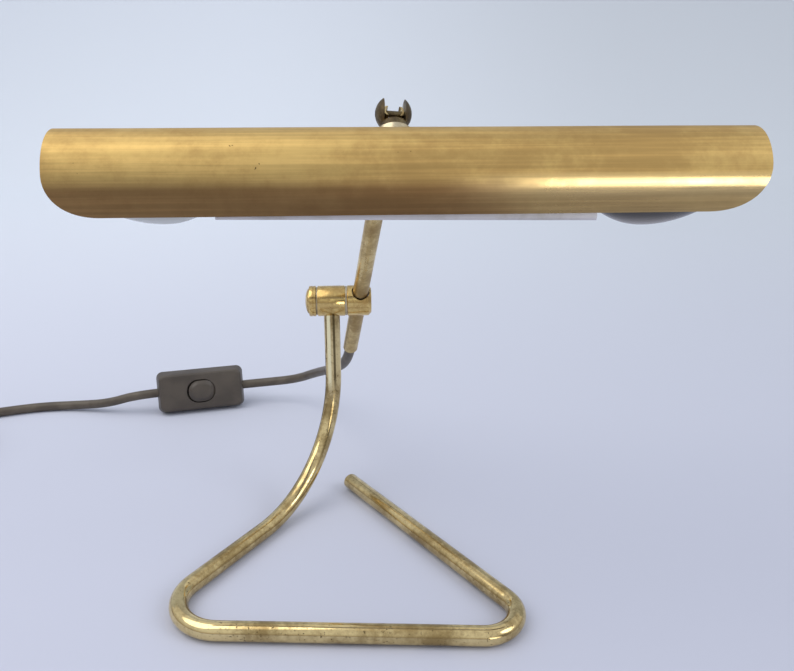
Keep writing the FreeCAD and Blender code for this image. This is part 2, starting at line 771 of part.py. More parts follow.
def switch_shell(front):
    sign = 1 if front else -1
    depth = switch_front_t if front else switch_back_t
    bevel = 1.6 if front else 0.0
    inset = 2 * switch_draft
    outside = drafted((switch_len, switch_h, switch_corner, 0),
                      (switch_len - inset, switch_h - inset, switch_corner - 1.0, sign * (depth - bevel)))
    if front:
        outside = outside.fuse(drafted(
            (switch_len - inset, switch_h - inset, switch_corner - 1.0, depth - bevel),
            (switch_len - inset - 3.0, switch_h - inset - 3.0, switch_corner - 2.0, depth)))
    thin = 2 * switch_wall
    inside = drafted((switch_len - thin, switch_h - thin, switch_corner - 1.5, 0),
                     (switch_len - thin - inset, switch_h - thin - inset, switch_corner - 2.5,
                      sign * (depth - switch_wall)))
    shell = outside.cut(inside)
    low = -depth - 1
    high = depth - switch_wall
    for x in (-switch_screw_x, switch_screw_x):
        post = Part.makeCylinder(switch_post_d / 2, high + 0.2, Vector(x, 0, 0), Vector(0, 0, sign))
        shell = shell.fuse(post)
        shell = shell.cut(rod(screw_d - 0.6 + 2 * fit, Vector(x, 0, low), Vector(x, 0, high)))
        if not front:
            shell = shell.cut(rod(screw_head_d - 1.4, Vector(x, 0, low), Vector(x, 0, -depth + 1.4)))
    shell = shell.cut(rod(cord_d + 2 * fit, Vector(-switch_len, 0, 0), Vector(switch_len, 0, 0))
                      .cut(box(-switch_len / 2 + cord_inside + 1, switch_len / 2 - cord_inside - 1,
                               -cord_d, cord_d, -cord_d, cord_d)))
    if front:
        opening = rounded_outline(rocker_w + 2 * rocker_play, rocker_h + 2 * rocker_play, rocker_h / 2, 0)
        shell = shell.cut(Part.Face(opening).extrude(Vector(0, 0, 2 * depth)))
        for side_sign in (-1, 1):
            near = side_sign * (rocker_h / 2 + rocker_play + run_gap)
            far = near + side_sign * ear_t
            ear = box(-ear_t * 1.4, ear_t * 1.4, min(near, far), max(near, far), rocker_pin_z - ear_t,
                      depth - switch_wall + press_gap)
            shell = shell.fuse(ear)
        pin_reach = Vector(0, switch_h / 2 - 2 * switch_wall, 0)
        pin_at = Vector(0, 0, rocker_pin_z)
        shell = shell.cut(rod(rocker_pin_d + 2 * fit, pin_at - pin_reach, pin_at + pin_reach))
    else:
        shell = shell.translated(Vector(0, 0, -press_gap))
    return on_switch(shell)


save("switch_face_shell", switch_shell(True))
save("switch_back_shell", switch_shell(False))


def switch_rocker():
    """A dished key with a raised pad, rocked to one side about its middle."""
    half = rocker_w / 2
    top = switch_front_t
    outline = [(-half, rocker_low), (half, rocker_low), (half, top + 0.4), (half * 0.62, top + 0.7),
               (half * 0.5, top + 2.2), (-half * 0.34, top + 2.6), (-half, top + 0.8)]
    points = [Vector(x, -rocker_h, z) for x, z in outline]
    prism = Part.Face(Part.makePolygon(points + points[:1])).extrude(Vector(0, 2 * rocker_h, 0))
    outline = rounded_outline(rocker_w, rocker_h, rocker_h / 2 - 0.5, 0)
    key = prism.common(Part.Face(outline).extrude(Vector(0, 0, 2 * top)))
    reach = Vector(0, rocker_h / 2 + rocker_play + ear_t, 0)
    pin_at = Vector(0, 0, rocker_pin_z)
    key = key.fuse(rod(rocker_pin_d, pin_at - reach, pin_at + reach)).removeSplitter()
    key.rotate(pin_at, Vector(0, 1, 0), rocker_tilt)
    return on_switch(key)


save("switch_rocker", switch_rocker())


def switch_insides():
    floor = switch_wall - switch_back_t
    contacts = []
    for sign in (-1, 1):
        near = sign * contact_near
        far = sign * contact_far
        contacts.append(on_switch(box(min(near, far), max(near, far), contact_side, contact_side + contact_w,
                                      floor, floor + contact_h)))
    bridge = on_switch(box(-contact_far, contact_far, -contact_side - contact_w, -contact_side,
                           floor, floor + contact_h))
    return contacts, bridge


switch_contacts, switch_bridge = switch_insides()
save("switch_contacts", *switch_contacts)
save("switch_bridge", switch_bridge)


def switch_screw(x):
    sunk = -switch_back_t + 0.4
    shank = rod(screw_d - 0.6, Vector(x, 0, sunk), Vector(x, 0, switch_back_t / 2))
    return on_switch(shank.fuse(rod(screw_head_d - 1.6, Vector(x, 0, sunk), Vector(x, 0, sunk + 0.9))))


def cord_grip(x):
    return on_switch(box(x - 1.6, x + 1.6, -6.0, 6.0, switch_wall - switch_back_t, -cord_d / 2 - press_gap))


grip_x = switch_len / 2 - cord_inside + 1.5
save("switch_screws", *[switch_screw(x) for x in (-switch_screw_x, switch_screw_x)])
save("cord_grips", *[cord_grip(x) for x in (-grip_x, grip_x)])


# Cord: from inside the arm to the switch, and on to the coil; the points are chosen by hand
def cord_tube(name, points):
    """Straight runs joined by tangent arcs, each as large as its two runs allow."""
    runs = [(b - a).Length for a, b in zip(points, points[1:])]
    radii = []
    for index in range(1, len(points) - 1):
        back = points[index - 1] - points[index]
        ahead = points[index + 1] - points[index]
        turn = math.pi - back.getAngle(ahead)
        radii.append(0.45 * min(runs[index - 1], runs[index]) / math.tan(turn / 2))
    path = rounded_path(points, radii)
    tube = swept(path, cord_d)
    section = math.pi * cord_d ** 2 / 4 * path.Length
    print(name, "radii", [round(radius) for radius in radii], "length", round(path.Length, 1),
          "volume share", round(tube.Volume / section, 4))
    return tube


entry = switch_len / 2 - cord_inside
drop_points = [arm_end + arm_way * lead_up, arm_end - arm_way * lead_drop_run,
               Vector(-54.7, 143.0, 52.0), Vector(-72.0, 178.0, 35.0), Vector(-90.7, 198.5, 21.0),
               switch_at + switch_way * (entry + cord_straight), switch_at + switch_way * entry]
coil_start_way = Vector(-math.sin(math.radians(coil_start)), math.cos(math.radians(coil_start)), 0)
coil_first = Vector(coil_x + coil_r * math.cos(math.radians(coil_start)),
                    coil_y + coil_r * math.sin(math.radians(coil_start)), cord_d / 2)
side_points = [switch_at - switch_way * entry, switch_at - switch_way * (entry + cord_straight),
               Vector(-241.0, 178.5, 8.0), Vector(-268.0, 184.0, 4.0), Vector(-296.5, 182.0, 3.5),
               Vector(-325.0, 172.0, 3.5), Vector(-352.5, 159.4, 3.5), coil_first - coil_start_way * cord_d]
save("lead_drop", cord_tube("lead_drop", drop_points))
save("lead_side", cord_tube("lead_side", side_points))


def coil_point(turn):
    """Centre line after some turns: it spirals in, climbs a layer, and spirals out."""
    half = coil_turns / 2
    from_middle = turn - half
    reverse = 0.25
    inner = coil_r - coil_pitch * half
    if abs(from_middle) > reverse:
        radius = inner + coil_pitch * abs(from_middle)
        height = 0.0 if from_middle < 0 else coil_step
    else:
        radius = inner + coil_pitch * (reverse / 2 + from_middle ** 2 / (2 * reverse))
        share = (from_middle + reverse) / (2 * reverse)
        height = coil_step * share * share * (3 - 2 * share)
    angle = math.radians(coil_start) + 2 * math.pi * turn
    return Vector(coil_x + radius * math.cos(angle), coil_y + radius * math.sin(angle), cord_d / 2 + height)


def coil_way(turn):
    step = 1e-4
    return unit(coil_point(min(turn + step, coil_turns)) - coil_point(max(turn - step, 0)))


def biarc(start, start_way, end, end_way):
    """Two arcs from one point to the next that leave and arrive along given directions."""
    gap = end - start
    both = start_way + end_way
    along = gap.dot(both)
    square = 2 * (1 - start_way.dot(end_way))
    reach = (-along + math.sqrt(along * along + square * gap.dot(gap))) / square
    corner_a = start + start_way * reach
    corner_b = end - end_way * reach
    joint = (corner_a + corner_b) * 0.5
    edges = []
    for first, corner, last in ((start, corner_a, joint), (joint, corner_b, end)):
        middle = (first + last) * 0.5
        half_chord = (last - first).Length / 2
        rise = (corner - middle).Length
        side_len = math.sqrt(half_chord ** 2 + rise ** 2)
        sag = half_chord * (side_len - half_chord) / rise
        edges.append(Part.Arc(first, middle + unit(corner - middle) * sag, last).toShape())
    return edges


def lead_coil():
    quarters = math.ceil(coil_turns * 4)
    turns = [coil_turns * k / quarters for k in range(quarters + 1)]
    start = coil_point(0)
    end = coil_point(coil_turns)
    edges = [Part.LineSegment(start - coil_start_way * cord_d, start).toShape()]
    ways = [coil_start_way] + [coil_way(turn) for turn in turns[1:-1]]
    last_angle = math.radians(coil_start) + 2 * math.pi * coil_turns
    ways.append(Vector(-math.sin(last_angle), math.cos(last_angle), 0))
    for k in range(quarters):
        edges += biarc(coil_point(turns[k]), ways[k], coil_point(turns[k + 1]), ways[k + 1])
    edges.append(Part.LineSegment(end, end + ways[-1] * cord_d).toShape())
    path = Part.Wire(edges)
    tube = swept(path, cord_d)
    samples = [coil_point(coil_turns * k / 1600) for k in range(1601)]
    apart = int(1600 / coil_turns * 0.5)
    gap = min((a - b).Length for i, a in enumerate(samples[::4]) for b in samples[i * 4 + apart::3])
    section = math.pi * cord_d ** 2 / 4 * path.Length
    print("lead_coil length", round(path.Length, 1), "least gap to itself", round(gap - cord_d, 2),
          "volume share", round(tube.Volume / section, 4))
    return tube, end + ways[-1] * cord_d, ways[-1]


coil_tube, tail_start, tail_way = lead_coil()
save("lead_coil", coil_tube)

# Plug: drawn with Z from the cord towards the pins and X across its width
plug_way = heading(plug_turn)
relief_at = Vector(plug_x, plug_y, plug_t / 2)
tail_points = [tail_start, Vector(-412.05, 77.0, 11.0), relief_at - plug_way * (relief_len * 0.75), relief_at]
save("lead_tail", cord_tube("lead_tail", tail_points))


def on_plug(shape):
    return seat(shape, relief_at, plug_way, Vector(1, 0, 0))


pin_feet = [Vector(sign * plug_pin_gap / 2, 0, relief_len + plug_len - pin_root) for sign in (-1, 1)]


def plug_pins():
    """Each pin is held in the body by a thinner root, and its tip is rounded."""
    pins = []
    for foot in pin_feet:
        root = Part.makeCylinder(pin_root_d / 2, pin_root + pin_neck, foot)
        bare_at = foot + Vector(0, 0, pin_root + pin_neck)
        bare = Part.makeCylinder(plug_pin_d / 2, plug_pin_len - pin_neck, bare_at)
        tip_z = foot.z + pin_root + plug_pin_len
        tip = [edge for edge in bare.Edges if abs(edge.CenterOfMass.z - tip_z) < fit]
        pins.append(root.fuse(bare.makeFillet(plug_pin_d * 0.4, tip)))
    return pins


def plug_body():
    face = relief_len + plug_len
    body = drafted((plug_waist, plug_t - 2.0, 5.0, relief_len),
                   (plug_w - 8.0, plug_t, 5.5, face - plug_len * 0.55),
                   (plug_w, plug_t, 6.0, face - plug_len * 0.2),
                   (plug_w, plug_t, 6.0, face))
    for foot in pin_feet:
        body = body.cut(rod(pin_root_d + 2 * press_gap, foot, foot + Vector(0, 0, 2 * pin_root)))
    return body


save("plug_body", on_plug(plug_body()))
save("plug_pins", *[on_plug(pin) for pin in plug_pins()])
save("plug_relief", on_plug(turned([(0, 0), (cord_d / 2 + 0.7, 0), (plug_t / 2 - 1.2, relief_len),
                                    (0, relief_len)])))

for name, shape in built.items():
    print(name, shape.isValid(), len(shape.Solids), round(shape.Volume, 1))
whole = FreeCAD.BoundBox()
for shape in built.values():
    whole.add(shape.BoundBox)
print("box", whole)
print("arm_end", arm_end, "arm_way", arm_way, "ball", ball, "pin", pin_way, "stud", stud_way)
print("shade centre", shade_centre, "arm_cross", arm_cross)
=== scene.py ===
# %% [markdown]
# # A brass piano lamp, dressed in Blender
# The shapes, sizes and joints of this lamp were settled in a CAD model. Here each visible piece
# gets its finish, and the pieces whose looks need more than the CAD solid are modelled again in
# the same place. Everything is in metres: +X runs along the shade, -Y points to the keyboard
# side, and the table is at height zero.

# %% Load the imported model
import json
import math

import bmesh
import bpy
from mathutils import Matrix, Vector
from mathutils.geometry import interpolate_bezier


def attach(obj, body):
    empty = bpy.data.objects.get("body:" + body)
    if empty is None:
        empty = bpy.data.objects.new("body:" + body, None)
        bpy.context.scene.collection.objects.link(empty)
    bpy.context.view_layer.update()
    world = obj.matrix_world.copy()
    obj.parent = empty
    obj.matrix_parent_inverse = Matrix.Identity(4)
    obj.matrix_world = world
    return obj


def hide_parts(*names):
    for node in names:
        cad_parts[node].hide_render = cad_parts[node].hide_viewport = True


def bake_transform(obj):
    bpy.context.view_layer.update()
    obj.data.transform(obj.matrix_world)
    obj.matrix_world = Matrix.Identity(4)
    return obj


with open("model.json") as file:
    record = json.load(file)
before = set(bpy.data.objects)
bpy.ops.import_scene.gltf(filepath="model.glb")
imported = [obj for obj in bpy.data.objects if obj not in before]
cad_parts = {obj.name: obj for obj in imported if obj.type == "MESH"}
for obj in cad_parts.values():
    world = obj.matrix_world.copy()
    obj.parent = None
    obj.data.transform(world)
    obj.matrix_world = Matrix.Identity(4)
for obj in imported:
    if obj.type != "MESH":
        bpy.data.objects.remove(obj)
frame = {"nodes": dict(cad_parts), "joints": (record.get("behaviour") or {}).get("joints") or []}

scene = bpy.context.scene
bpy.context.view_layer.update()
nodes = frame["nodes"]
joints = {joint["name"]: joint for joint in frame["joints"]}

# %% [markdown]
# The joints of the CAD model already hold the places that matter: the axis of the knuckle, the
# line of the arm, the middle of the ball and the line of the stud. Reading them keeps each new
# piece on the piece that carries it, so no number is measured twice.

# %% Axes and places
UP = Vector((0, 0, 1))
knuckle = Vector(joints["knuckle_swing"]["pos_m"])
knuckle_way = Vector(joints["knuckle_swing"]["axis"])
arm_way = Vector(joints["arm_turn"]["axis"])
ball = Vector(joints["shade_tilt"]["pos_m"])
pin_way = Vector(joints["shade_tilt"]["axis"])
stud_way = Vector(joints["shade_swivel"]["axis"])


def heading(degrees):
    """Level direction, turned from +Y towards +X."""
    angle = math.radians(degrees)
    return Vector((math.sin(angle), math.cos(angle), 0))


def seat(origin, along, across):
    """Matrix that takes a piece drawn about +Z at the origin to its place in the lamp."""
    z_way = along.normalized()
    x_way = (across - z_way * across.dot(z_way)).normalized()
    turn = Matrix((x_way, z_way.cross(x_way), z_way)).transposed()
    return Matrix.Translation(origin) @ turn.to_4x4()


shade_radius = 0.022
ball_to_sheet = 0.013
shade_turn = 3.4
shade_way = heading(90 - shade_turn)
shade_middle = ball - stud_way * (ball_to_sheet + shade_radius)
in_shade = seat(shade_middle, UP, shade_way)
print("shade middle", shade_middle)

# %% [markdown]
# ## Camera
# The photograph was taken with a normal lens from a little above the shade, looking down by
# nineteen degrees. The camera comes first, because every later choice is judged through it.

# %% Camera
camera_data = bpy.data.cameras.new("photo_camera")
camera_data.sensor_width = 36.0
camera_data.lens = 36.27
camera_data.clip_start = 0.01
camera = bpy.data.objects.new("photo_camera", camera_data)
camera.location = (-0.0073, -0.4168, 0.271)
look_down = 19
camera.rotation_euler = (math.radians(90 - look_down), 0, 0)
scene.collection.objects.link(camera)
scene.camera = camera
scene.view_settings.view_transform = "Standard"

# %% [markdown]
# ## Helpers for meshes
# A bmesh is a mesh under construction. Each piece below starts from a create operator or from a
# few vertices, is shaped by operators such as spin, extrude and bevel, and is then written to a
# mesh once, at its place in the lamp.


# %% Helpers for meshes
def finish_piece(bm, name, material, body, place=None, smooth=35.0, stand_for=()):
    """Write a bmesh to a new object, smooth it, dress it and hang it on its body."""
    if place is not None:
        bmesh.ops.transform(bm, matrix=place, verts=bm.verts)
    bmesh.ops.recalc_face_normals(bm, faces=bm.faces)
    mesh = bpy.data.meshes.new(name)
    bm.to_mesh(mesh)
    bm.free()
    piece = bpy.data.objects.new(name, mesh)
    scene.collection.objects.link(piece)
    mesh.materials.append(material)
    if smooth:
        mesh.shade_smooth()
        mesh.set_sharp_from_angle(angle=math.radians(smooth))
    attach(piece, body)
    if stand_for:
        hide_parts(*stand_for)
    return piece


def spin_profile(outline, steps=64):
    """Turn an outline of (radius, height) points round the Z axis, closing the poles."""
    bm = bmesh.new()
    chain = [bm.verts.new((radius, 0, height)) for radius, height in outline]
    edges = [bm.edges.new(pair) for pair in zip(chain, chain[1:])]
    bmesh.ops.spin(bm, geom=chain + edges, cent=(0, 0, 0), axis=(0, 0, 1), dvec=(0, 0, 0),
                   angle=2 * math.pi, steps=steps, use_merge=True, use_duplicate=False)
    bmesh.ops.remove_doubles(bm, verts=bm.verts, dist=1e-6)
    return bm


def soften(bm, edges, width, segments=3):
    bmesh.ops.bevel(bm, geom=list(edges), offset=width, offset_type="OFFSET", segments=segments,
                    profile=0.5, affect="EDGES", material=-1, clamp_overlap=True)


# %% [markdown]
# ## Helpers for materials
# Old brass isn't one colour. Where hands rub it, it is bright yellow; elsewhere a thin brown film
# grows in cloudy patches, with dark pits where damp stood. The group below makes these three from
# noise and gives out a colour, a roughness and a height. It is built once, and each material
# places it with its own colours and sizes.


# %% Helpers for materials
def new_group(name, inputs, outputs):
    """Shader node group with named sockets; inputs map a name to (type, default)."""
    group = bpy.data.node_groups.new(name, "ShaderNodeTree")
    for label, (kind, default) in inputs.items():
        socket = group.interface.new_socket(label, in_out="INPUT", socket_type="NodeSocket" + kind)
        if default is not None:
            socket.default_value = default
    for label, kind in outputs.items():
        group.interface.new_socket(label, in_out="OUTPUT", socket_type="NodeSocket" + kind)
    return group, group.nodes.new("NodeGroupInput"), group.nodes.new("NodeGroupOutput")


def add(tree, kind, links=(), **values):
    """New node; values name its sockets or its own settings, links feed its sockets."""
    node = tree.nodes.new("ShaderNode" + kind)
    for label, value in values.items():
        label = label.replace("__", " ")
        if hasattr(node, label):
            setattr(node, label, value)
        else:
            node.inputs[label].default_value = value
    for label, source in dict(links).items():
        tree.links.new(source, node.inputs[label])
    return node


def math_node(tree, operation, first, second=None):
    node = tree.nodes.new("ShaderNodeMath")
    node.operation = operation
    for socket, value in zip(node.inputs, (first, second)):
        if value is None:
            continue
        if isinstance(value, (int, float)):
            socket.default_value = value
        else:
            tree.links.new(value, socket)
    return node.outputs[0]


def ramp(tree, source, low, high, to_low=0.0, to_high=1.0):
    node = tree.nodes.new("ShaderNodeMapRange")
    node.interpolation_type = "SMOOTHSTEP"
    tree.links.new(source, node.inputs["Value"])
    limits = (("From Min", low), ("From Max", high), ("To Min", to_low), ("To Max", to_high))
    for label, value in limits:
        if isinstance(value, (int, float)):
            node.inputs[label].default_value = value
        else:
            tree.links.new(value, node.inputs[label])
    return node.outputs["Result"]


def mix_colour(tree, share, first, second, blend="MIX"):
    node = tree.nodes.new("ShaderNodeMix")
    node.data_type = "RGBA"
    node.blend_type = blend
    for index, value in ((0, share), (6, first), (7, second)):
        if hasattr(value, "links"):
            tree.links.new(value, node.inputs[index])
        else:
            node.inputs[index].default_value = value
    return node.outputs[2]


def build_patina():
    group, given, out = new_group(
        "Brass patina",
        {"Vector": ("Vector", None), "Bright": ("Color", (0.7, 0.5, 0.2, 1)),
         "Film": ("Color", (0.3, 0.2, 0.08, 1)), "Pit": ("Color", (0.06, 0.04, 0.02, 1)),
         "Patch Size": ("Float", 30.0), "Film Cover": ("Float", 0.5),
         "Pit Cover": ("Float", 0.3), "Smooth": ("Float", 0.25), "Rough": ("Float", 0.45)},
        {"Color": "Color", "Roughness": "Float", "Height": "Float", "Film": "Float"})
    at = given.outputs
    big = add(group, "TexNoise", {"Vector": at["Vector"], "Scale": at["Patch Size"]},
              Detail=6.0, Roughness=0.62)
    fine_scale = math_node(group, "MULTIPLY", at["Patch Size"], 9.0)
    fine = add(group, "TexNoise", {"Vector": at["Vector"], "Scale": fine_scale}, Detail=4.0, Roughness=0.7)
    blend = math_node(group, "ADD", math_node(group, "MULTIPLY", big.outputs["Fac"], 0.72),
                      math_node(group, "MULTIPLY", fine.outputs["Fac"], 0.28))
    low = math_node(group, "SUBTRACT", 0.66, math_node(group, "MULTIPLY", at["Film Cover"], 0.3))
    film = ramp(group, blend, math_node(group, "SUBTRACT", low, 0.14), math_node(group, "ADD", low, 0.12))
    pit_scale = math_node(group, "MULTIPLY", at["Patch Size"], 26.0)
    specks = add(group, "TexNoise", {"Vector": at["Vector"], "Scale": pit_scale}, Detail=2.0, Roughness=0.5)
    where_scale = math_node(group, "MULTIPLY", at["Patch Size"], 2.3)
    where = add(group, "TexNoise", {"Vector": at["Vector"], "Scale": where_scale}, Detail=2.0)
    limit = math_node(group, "SUBTRACT", 0.84, math_node(group, "MULTIPLY", at["Pit Cover"], 0.2))
    limit = math_node(group, "SUBTRACT", limit, math_node(group, "MULTIPLY", where.outputs["Fac"], 0.14))
    pits = ramp(group, specks.outputs["Fac"], limit, math_node(group, "ADD", limit, 0.05))
    colour = mix_colour(group, film, at["Bright"], at["Film"])
    colour = mix_colour(group, math_node(group, "MULTIPLY", pits, 0.85), colour, at["Pit"])
    rough = ramp(group, film, 0.0, 1.0, at["Smooth"], at["Rough"])
    rough = math_node(group, "ADD", rough, math_node(group, "MULTIPLY", pits, 0.2))
    height = math_node(group, "SUBTRACT", math_node(group, "MULTIPLY", fine.outputs["Fac"], 0.35), pits)
    for label, source in (("Color", colour), ("Roughness", rough), ("Height", height), ("Film", film)):
        group.links.new(source, out.inputs[label])
    return group


patina_group = build_patina()


def build_lines():
    """Fine polishing lines along X of the vector: a value and a height that vary across them."""
    group, given, out = new_group("Polishing lines", {"Vector": ("Vector", None), "Scale": ("Float", 300.0)},
                                  {"Lines": "Float", "Broad": "Float"})
    squeeze = add(group, "Mapping", {"Vector": given.outputs["Vector"]}, Scale=(0.02, 1.0, 1.0))
    lines = add(group, "TexNoise", {"Vector": squeeze.outputs[0], "Scale": given.outputs["Scale"]}, Detail=3.0,
                Roughness=0.6)
    wide = math_node(group, "MULTIPLY", given.outputs["Scale"], 0.16)
    broad = add(group, "TexNoise", {"Vector": squeeze.outputs[0], "Scale": wide}, Detail=2.0)
    group.links.new(lines.outputs["Fac"], out.inputs["Lines"])
    group.links.new(broad.outputs["Fac"], out.inputs["Broad"])
    return group


lines_group = build_lines()


def new_material(name, **plain):
    """Material with a Principled shader whose plain values are set on its own sockets."""
    material = bpy.data.materials.new(name)
    material.use_nodes = True
    tree = material.node_tree
    shader = tree.nodes["Principled BSDF"]
    for label, value in plain.items():
        shader.inputs[label.replace("__", " ")].default_value = value
    where = tree.nodes.new("ShaderNodeTexCoord").outputs["Object"]
    return material, tree, shader, where


def bump(tree, shader, height, strength, distance):
    node = add(tree, "Bump", {"Height": height}, Strength=strength, Distance=distance)
    tree.links.new(node.outputs["Normal"], shader.inputs["Normal"])


def place_group(tree, group, vector, **values):
    node = tree.nodes.new("ShaderNodeGroup")
    node.node_tree = group
    tree.links.new(vector, node.inputs["Vector"])
    for label, value in values.items():
        node.inputs[label.replace("__", " ")].default_value = value
    return node


def stem_painted_reflections(tree, where, colour):
    """Painted reflections: a pale highlight line and a dark reflected line up the front of the upright stem."""
    split = add(tree, "SeparateXYZ", {"Vector": where})
    beside = math_node(tree, "SUBTRACT", split.outputs["X"], knuckle.x)
    front = ramp(tree, split.outputs["Y"], knuckle.y, knuckle.y - 0.002)
    upright = math_node(tree, "MULTIPLY", front, ramp(tree, split.outputs["Z"], 0.066, 0.080))
    off_dark = math_node(tree, "ABSOLUTE", math_node(tree, "SUBTRACT", beside, 0.0014))
    off_highlight = math_node(tree, "ABSOLUTE", math_node(tree, "ADD", beside, 0.0019))
    # Painted reflections: a dark reflected line, and beside it a pale painted highlight
    dark = math_node(tree, "MULTIPLY", upright, ramp(tree, off_dark, 0.0010, 0.0004))
    painted_highlight = math_node(tree, "MULTIPLY", upright, ramp(tree, off_highlight, 0.0016, 0.0006))
    colour = mix_colour(tree, painted_highlight, colour, (0.98, 0.88, 0.52, 1))
    return mix_colour(tree, math_node(tree, "MULTIPLY", dark, 0.85), colour, (0.06, 0.042, 0.016, 1))


def brass(name, bright, film, patch=30.0, cover=0.5, pits=0.3, smooth=0.25, rough=0.45,
          dents=0.25, painted_reflections=None):
    material, tree, shader, where = new_material(name, Metallic=1.0)
    worn = place_group(tree, patina_group, where, Bright=(*bright, 1), Film=(*film, 1), Patch__Size=patch,
                       Film__Cover=cover, Pit__Cover=pits, Smooth=smooth, Rough=rough)
    colour = painted_reflections(tree, where, worn.outputs["Color"]) if painted_reflections else worn.outputs["Color"]
    tree.links.new(colour, shader.inputs["Base Color"])
    tree.links.new(worn.outputs["Roughness"], shader.inputs["Roughness"])
    bump(tree, shader, worn.outputs["Height"], dents, 0.0002)
    return material


# The foot brass carries the painted reflections up the stem
base_brass = brass("foot brass", (0.78, 0.62, 0.31), (0.34, 0.24, 0.10), patch=38, cover=0.5,
                   pits=0.6, smooth=0.07, rough=0.24, dents=0.15, painted_reflections=stem_painted_reflections)
arm_brass = brass("arm brass", (0.74, 0.58, 0.28), (0.40, 0.28, 0.12), patch=45, cover=0.6, pits=0.35,
                  smooth=0.24, rough=0.42)
knuckle_brass = brass("knuckle brass", (0.82, 0.60, 0.23), (0.46, 0.30, 0.11), patch=60, cover=0.4, pits=0.3,
                      smooth=0.14, rough=0.3)
# A much darker brass, for the ball and the pin
dark_brass = brass("dark brass", (0.26, 0.20, 0.10), (0.10, 0.075, 0.045), patch=120,
                        cover=0.7, pits=0.4, smooth=0.35, rough=0.55)
washer_brass = brass("washer brass", (0.60, 0.52, 0.36), (0.36, 0.28, 0.16), patch=110, cover=0.4, pits=0.3,
                     smooth=0.3, rough=0.45)
turned_brass = brass("turned brass", (0.78, 0.60, 0.28), (0.55, 0.40, 0.16), patch=140, cover=0.3, pits=0.1,
                     smooth=0.18, rough=0.3, dents=0.1)
print("brasses made")

# %% [markdown]
# ## The bent rod
# One round rod makes the foot and the stem: it runs from its free end to the right corner, along
# the front, back from the left corner, and then up. A real bender pushes a straight rod round a
# former, and the same can be done with a circle of vertices: extrude it along each straight run
# and spin it round each bend. That gives clean rings of faces, which shine without facets.

# %% The bent rod
rod_radius = 0.005
stem_foot = Vector((knuckle.x, knuckle.y, rod_radius))
left_run, front_run, right_run = 0.178, 0.2097, 0.1897
rod_bends = [0.018, 0.025, 0.076]
left_corner = stem_foot - heading(30.5) * left_run
right_corner = left_corner + heading(91.6) * front_run
free_end = right_corner + heading(-35.5) * right_run
stem_top = knuckle - UP * 0.0045


def bend_rod(bm, points, bend_radii, radius, rings=40, ring_points=40):
    """Extrude a ring along straight runs and spin it round each bend; returns the last ring."""
    way = (points[1] - points[0]).normalized()
    made = bmesh.ops.create_circle(bm, cap_ends=False, radius=radius, segments=ring_points,
                                   matrix=seat(points[0], way, UP.cross(way)))
    edges = list({edge for vert in made["verts"] for edge in vert.link_edges})
    first = edges
    here = points[0]
    for index, bend_radius in enumerate(bend_radii):
        corner = points[index + 1]
        ahead = (points[index + 2] - corner).normalized()
        turn = way.angle(ahead)
        start = corner - way * (bend_radius * math.tan(turn / 2))
        edges = extrude_ring(bm, edges, start - here)
        axis = way.cross(ahead).normalized()
        centre = start + axis.cross(way) * bend_radius
        spun = bmesh.ops.spin(bm, geom=edges, cent=centre, axis=axis, dvec=(0, 0, 0), angle=turn,
                              steps=rings, use_merge=False, use_duplicate=False)
        edges = [item for item in spun["geom_last"] if isinstance(item, bmesh.types.BMEdge)]
        here = corner + ahead * (bend_radius * math.tan(turn / 2))
        way = ahead
    edges = extrude_ring(bm, edges, points[-1] - here)
    return first, edges


def extrude_ring(bm, edges, step):
    made = bmesh.ops.extrude_edge_only(bm, edges=edges)["geom"]
    verts = [item for item in made if isinstance(item, bmesh.types.BMVert)]
    bmesh.ops.translate(bm, vec=step, verts=verts)
    return [item for item in made if isinstance(item, bmesh.types.BMEdge) and len(item.link_faces) == 1]


rod = bmesh.new()
first_ring, last_ring = bend_rod(rod, [free_end, right_corner, left_corner, stem_foot, stem_top],
                                 rod_bends, rod_radius)
tip = bmesh.ops.edgeloop_fill(rod, edges=first_ring)["faces"][0]
soften(rod, tip.edges, 0.0018, 5)
bmesh.ops.edgeloop_fill(rod, edges=[edge for edge in rod.edges if len(edge.link_faces) == 1])
bent_rod = finish_piece(rod, "bent_rod", base_brass, "base", stand_for=("foot_rod",))
print("bent rod faces", len(bent_rod.data.polygons))

# %% [markdown]
# ## The knuckle
# The knuckle is three turned pieces in a row: the domed clamp knob, the barrel on the stem and
# the holder that grips the arm. Thin washers show between them as fine lines. Turned pieces are
# made as a lathe makes them: half of the outline is drawn once and spun about the axis.

# %% The knuckle
on_knuckle = seat(knuckle, knuckle_way, UP)
barrel_outline = [(0.0, -0.00863), (0.0087, -0.00863), (0.0092, -0.0085), (0.0095, -0.0080), (0.0095, 0.0080),
                  (0.0092, 0.0085), (0.0087, 0.00863), (0.0, 0.00863)]
finish_piece(spin_profile(barrel_outline, 96), "knuckle_barrel_turned", knuckle_brass, "base", on_knuckle,
             stand_for=("knuckle_barrel",))

knob_outline = [(0.0, -0.00937), (0.0088, -0.00937), (0.0095, -0.0096), (0.0095, -0.0109), (0.00935, -0.01105),
                (0.00935, -0.0113), (0.0095, -0.01145), (0.0095, -0.0132), (0.0093, -0.01355), (0.0089, -0.01375),
                (0.0084, -0.01372), (0.0080, -0.01362)]
knob_outline += [(0.0080 * math.cos(math.radians(a)), -0.01362 - 0.00255 * math.sin(math.radians(a)))
                 for a in (12, 24, 36, 50, 64, 78)] + [(0.0, -0.01625)]
finish_piece(spin_profile(knob_outline, 96), "clamp_knob_turned", knuckle_brass, "knob", on_knuckle,
             stand_for=("clamp_knob",))

# %% [markdown]
# ## The shade
# The shade is one brass sheet rolled to a long open half-round with its four corners rounded off.
# A sheet-metal worker cuts the flat blank first and rolls it last, and this piece is made the same
# way: a flat rectangle, its corners bevelled round, cut into strips, rolled about the long axis
# and then given its thickness.

# %% The shade
shade_length = 0.3164
shade_shift = 0.0073
front_angle = math.radians(132.1)
back_angle = math.radians(80.0)
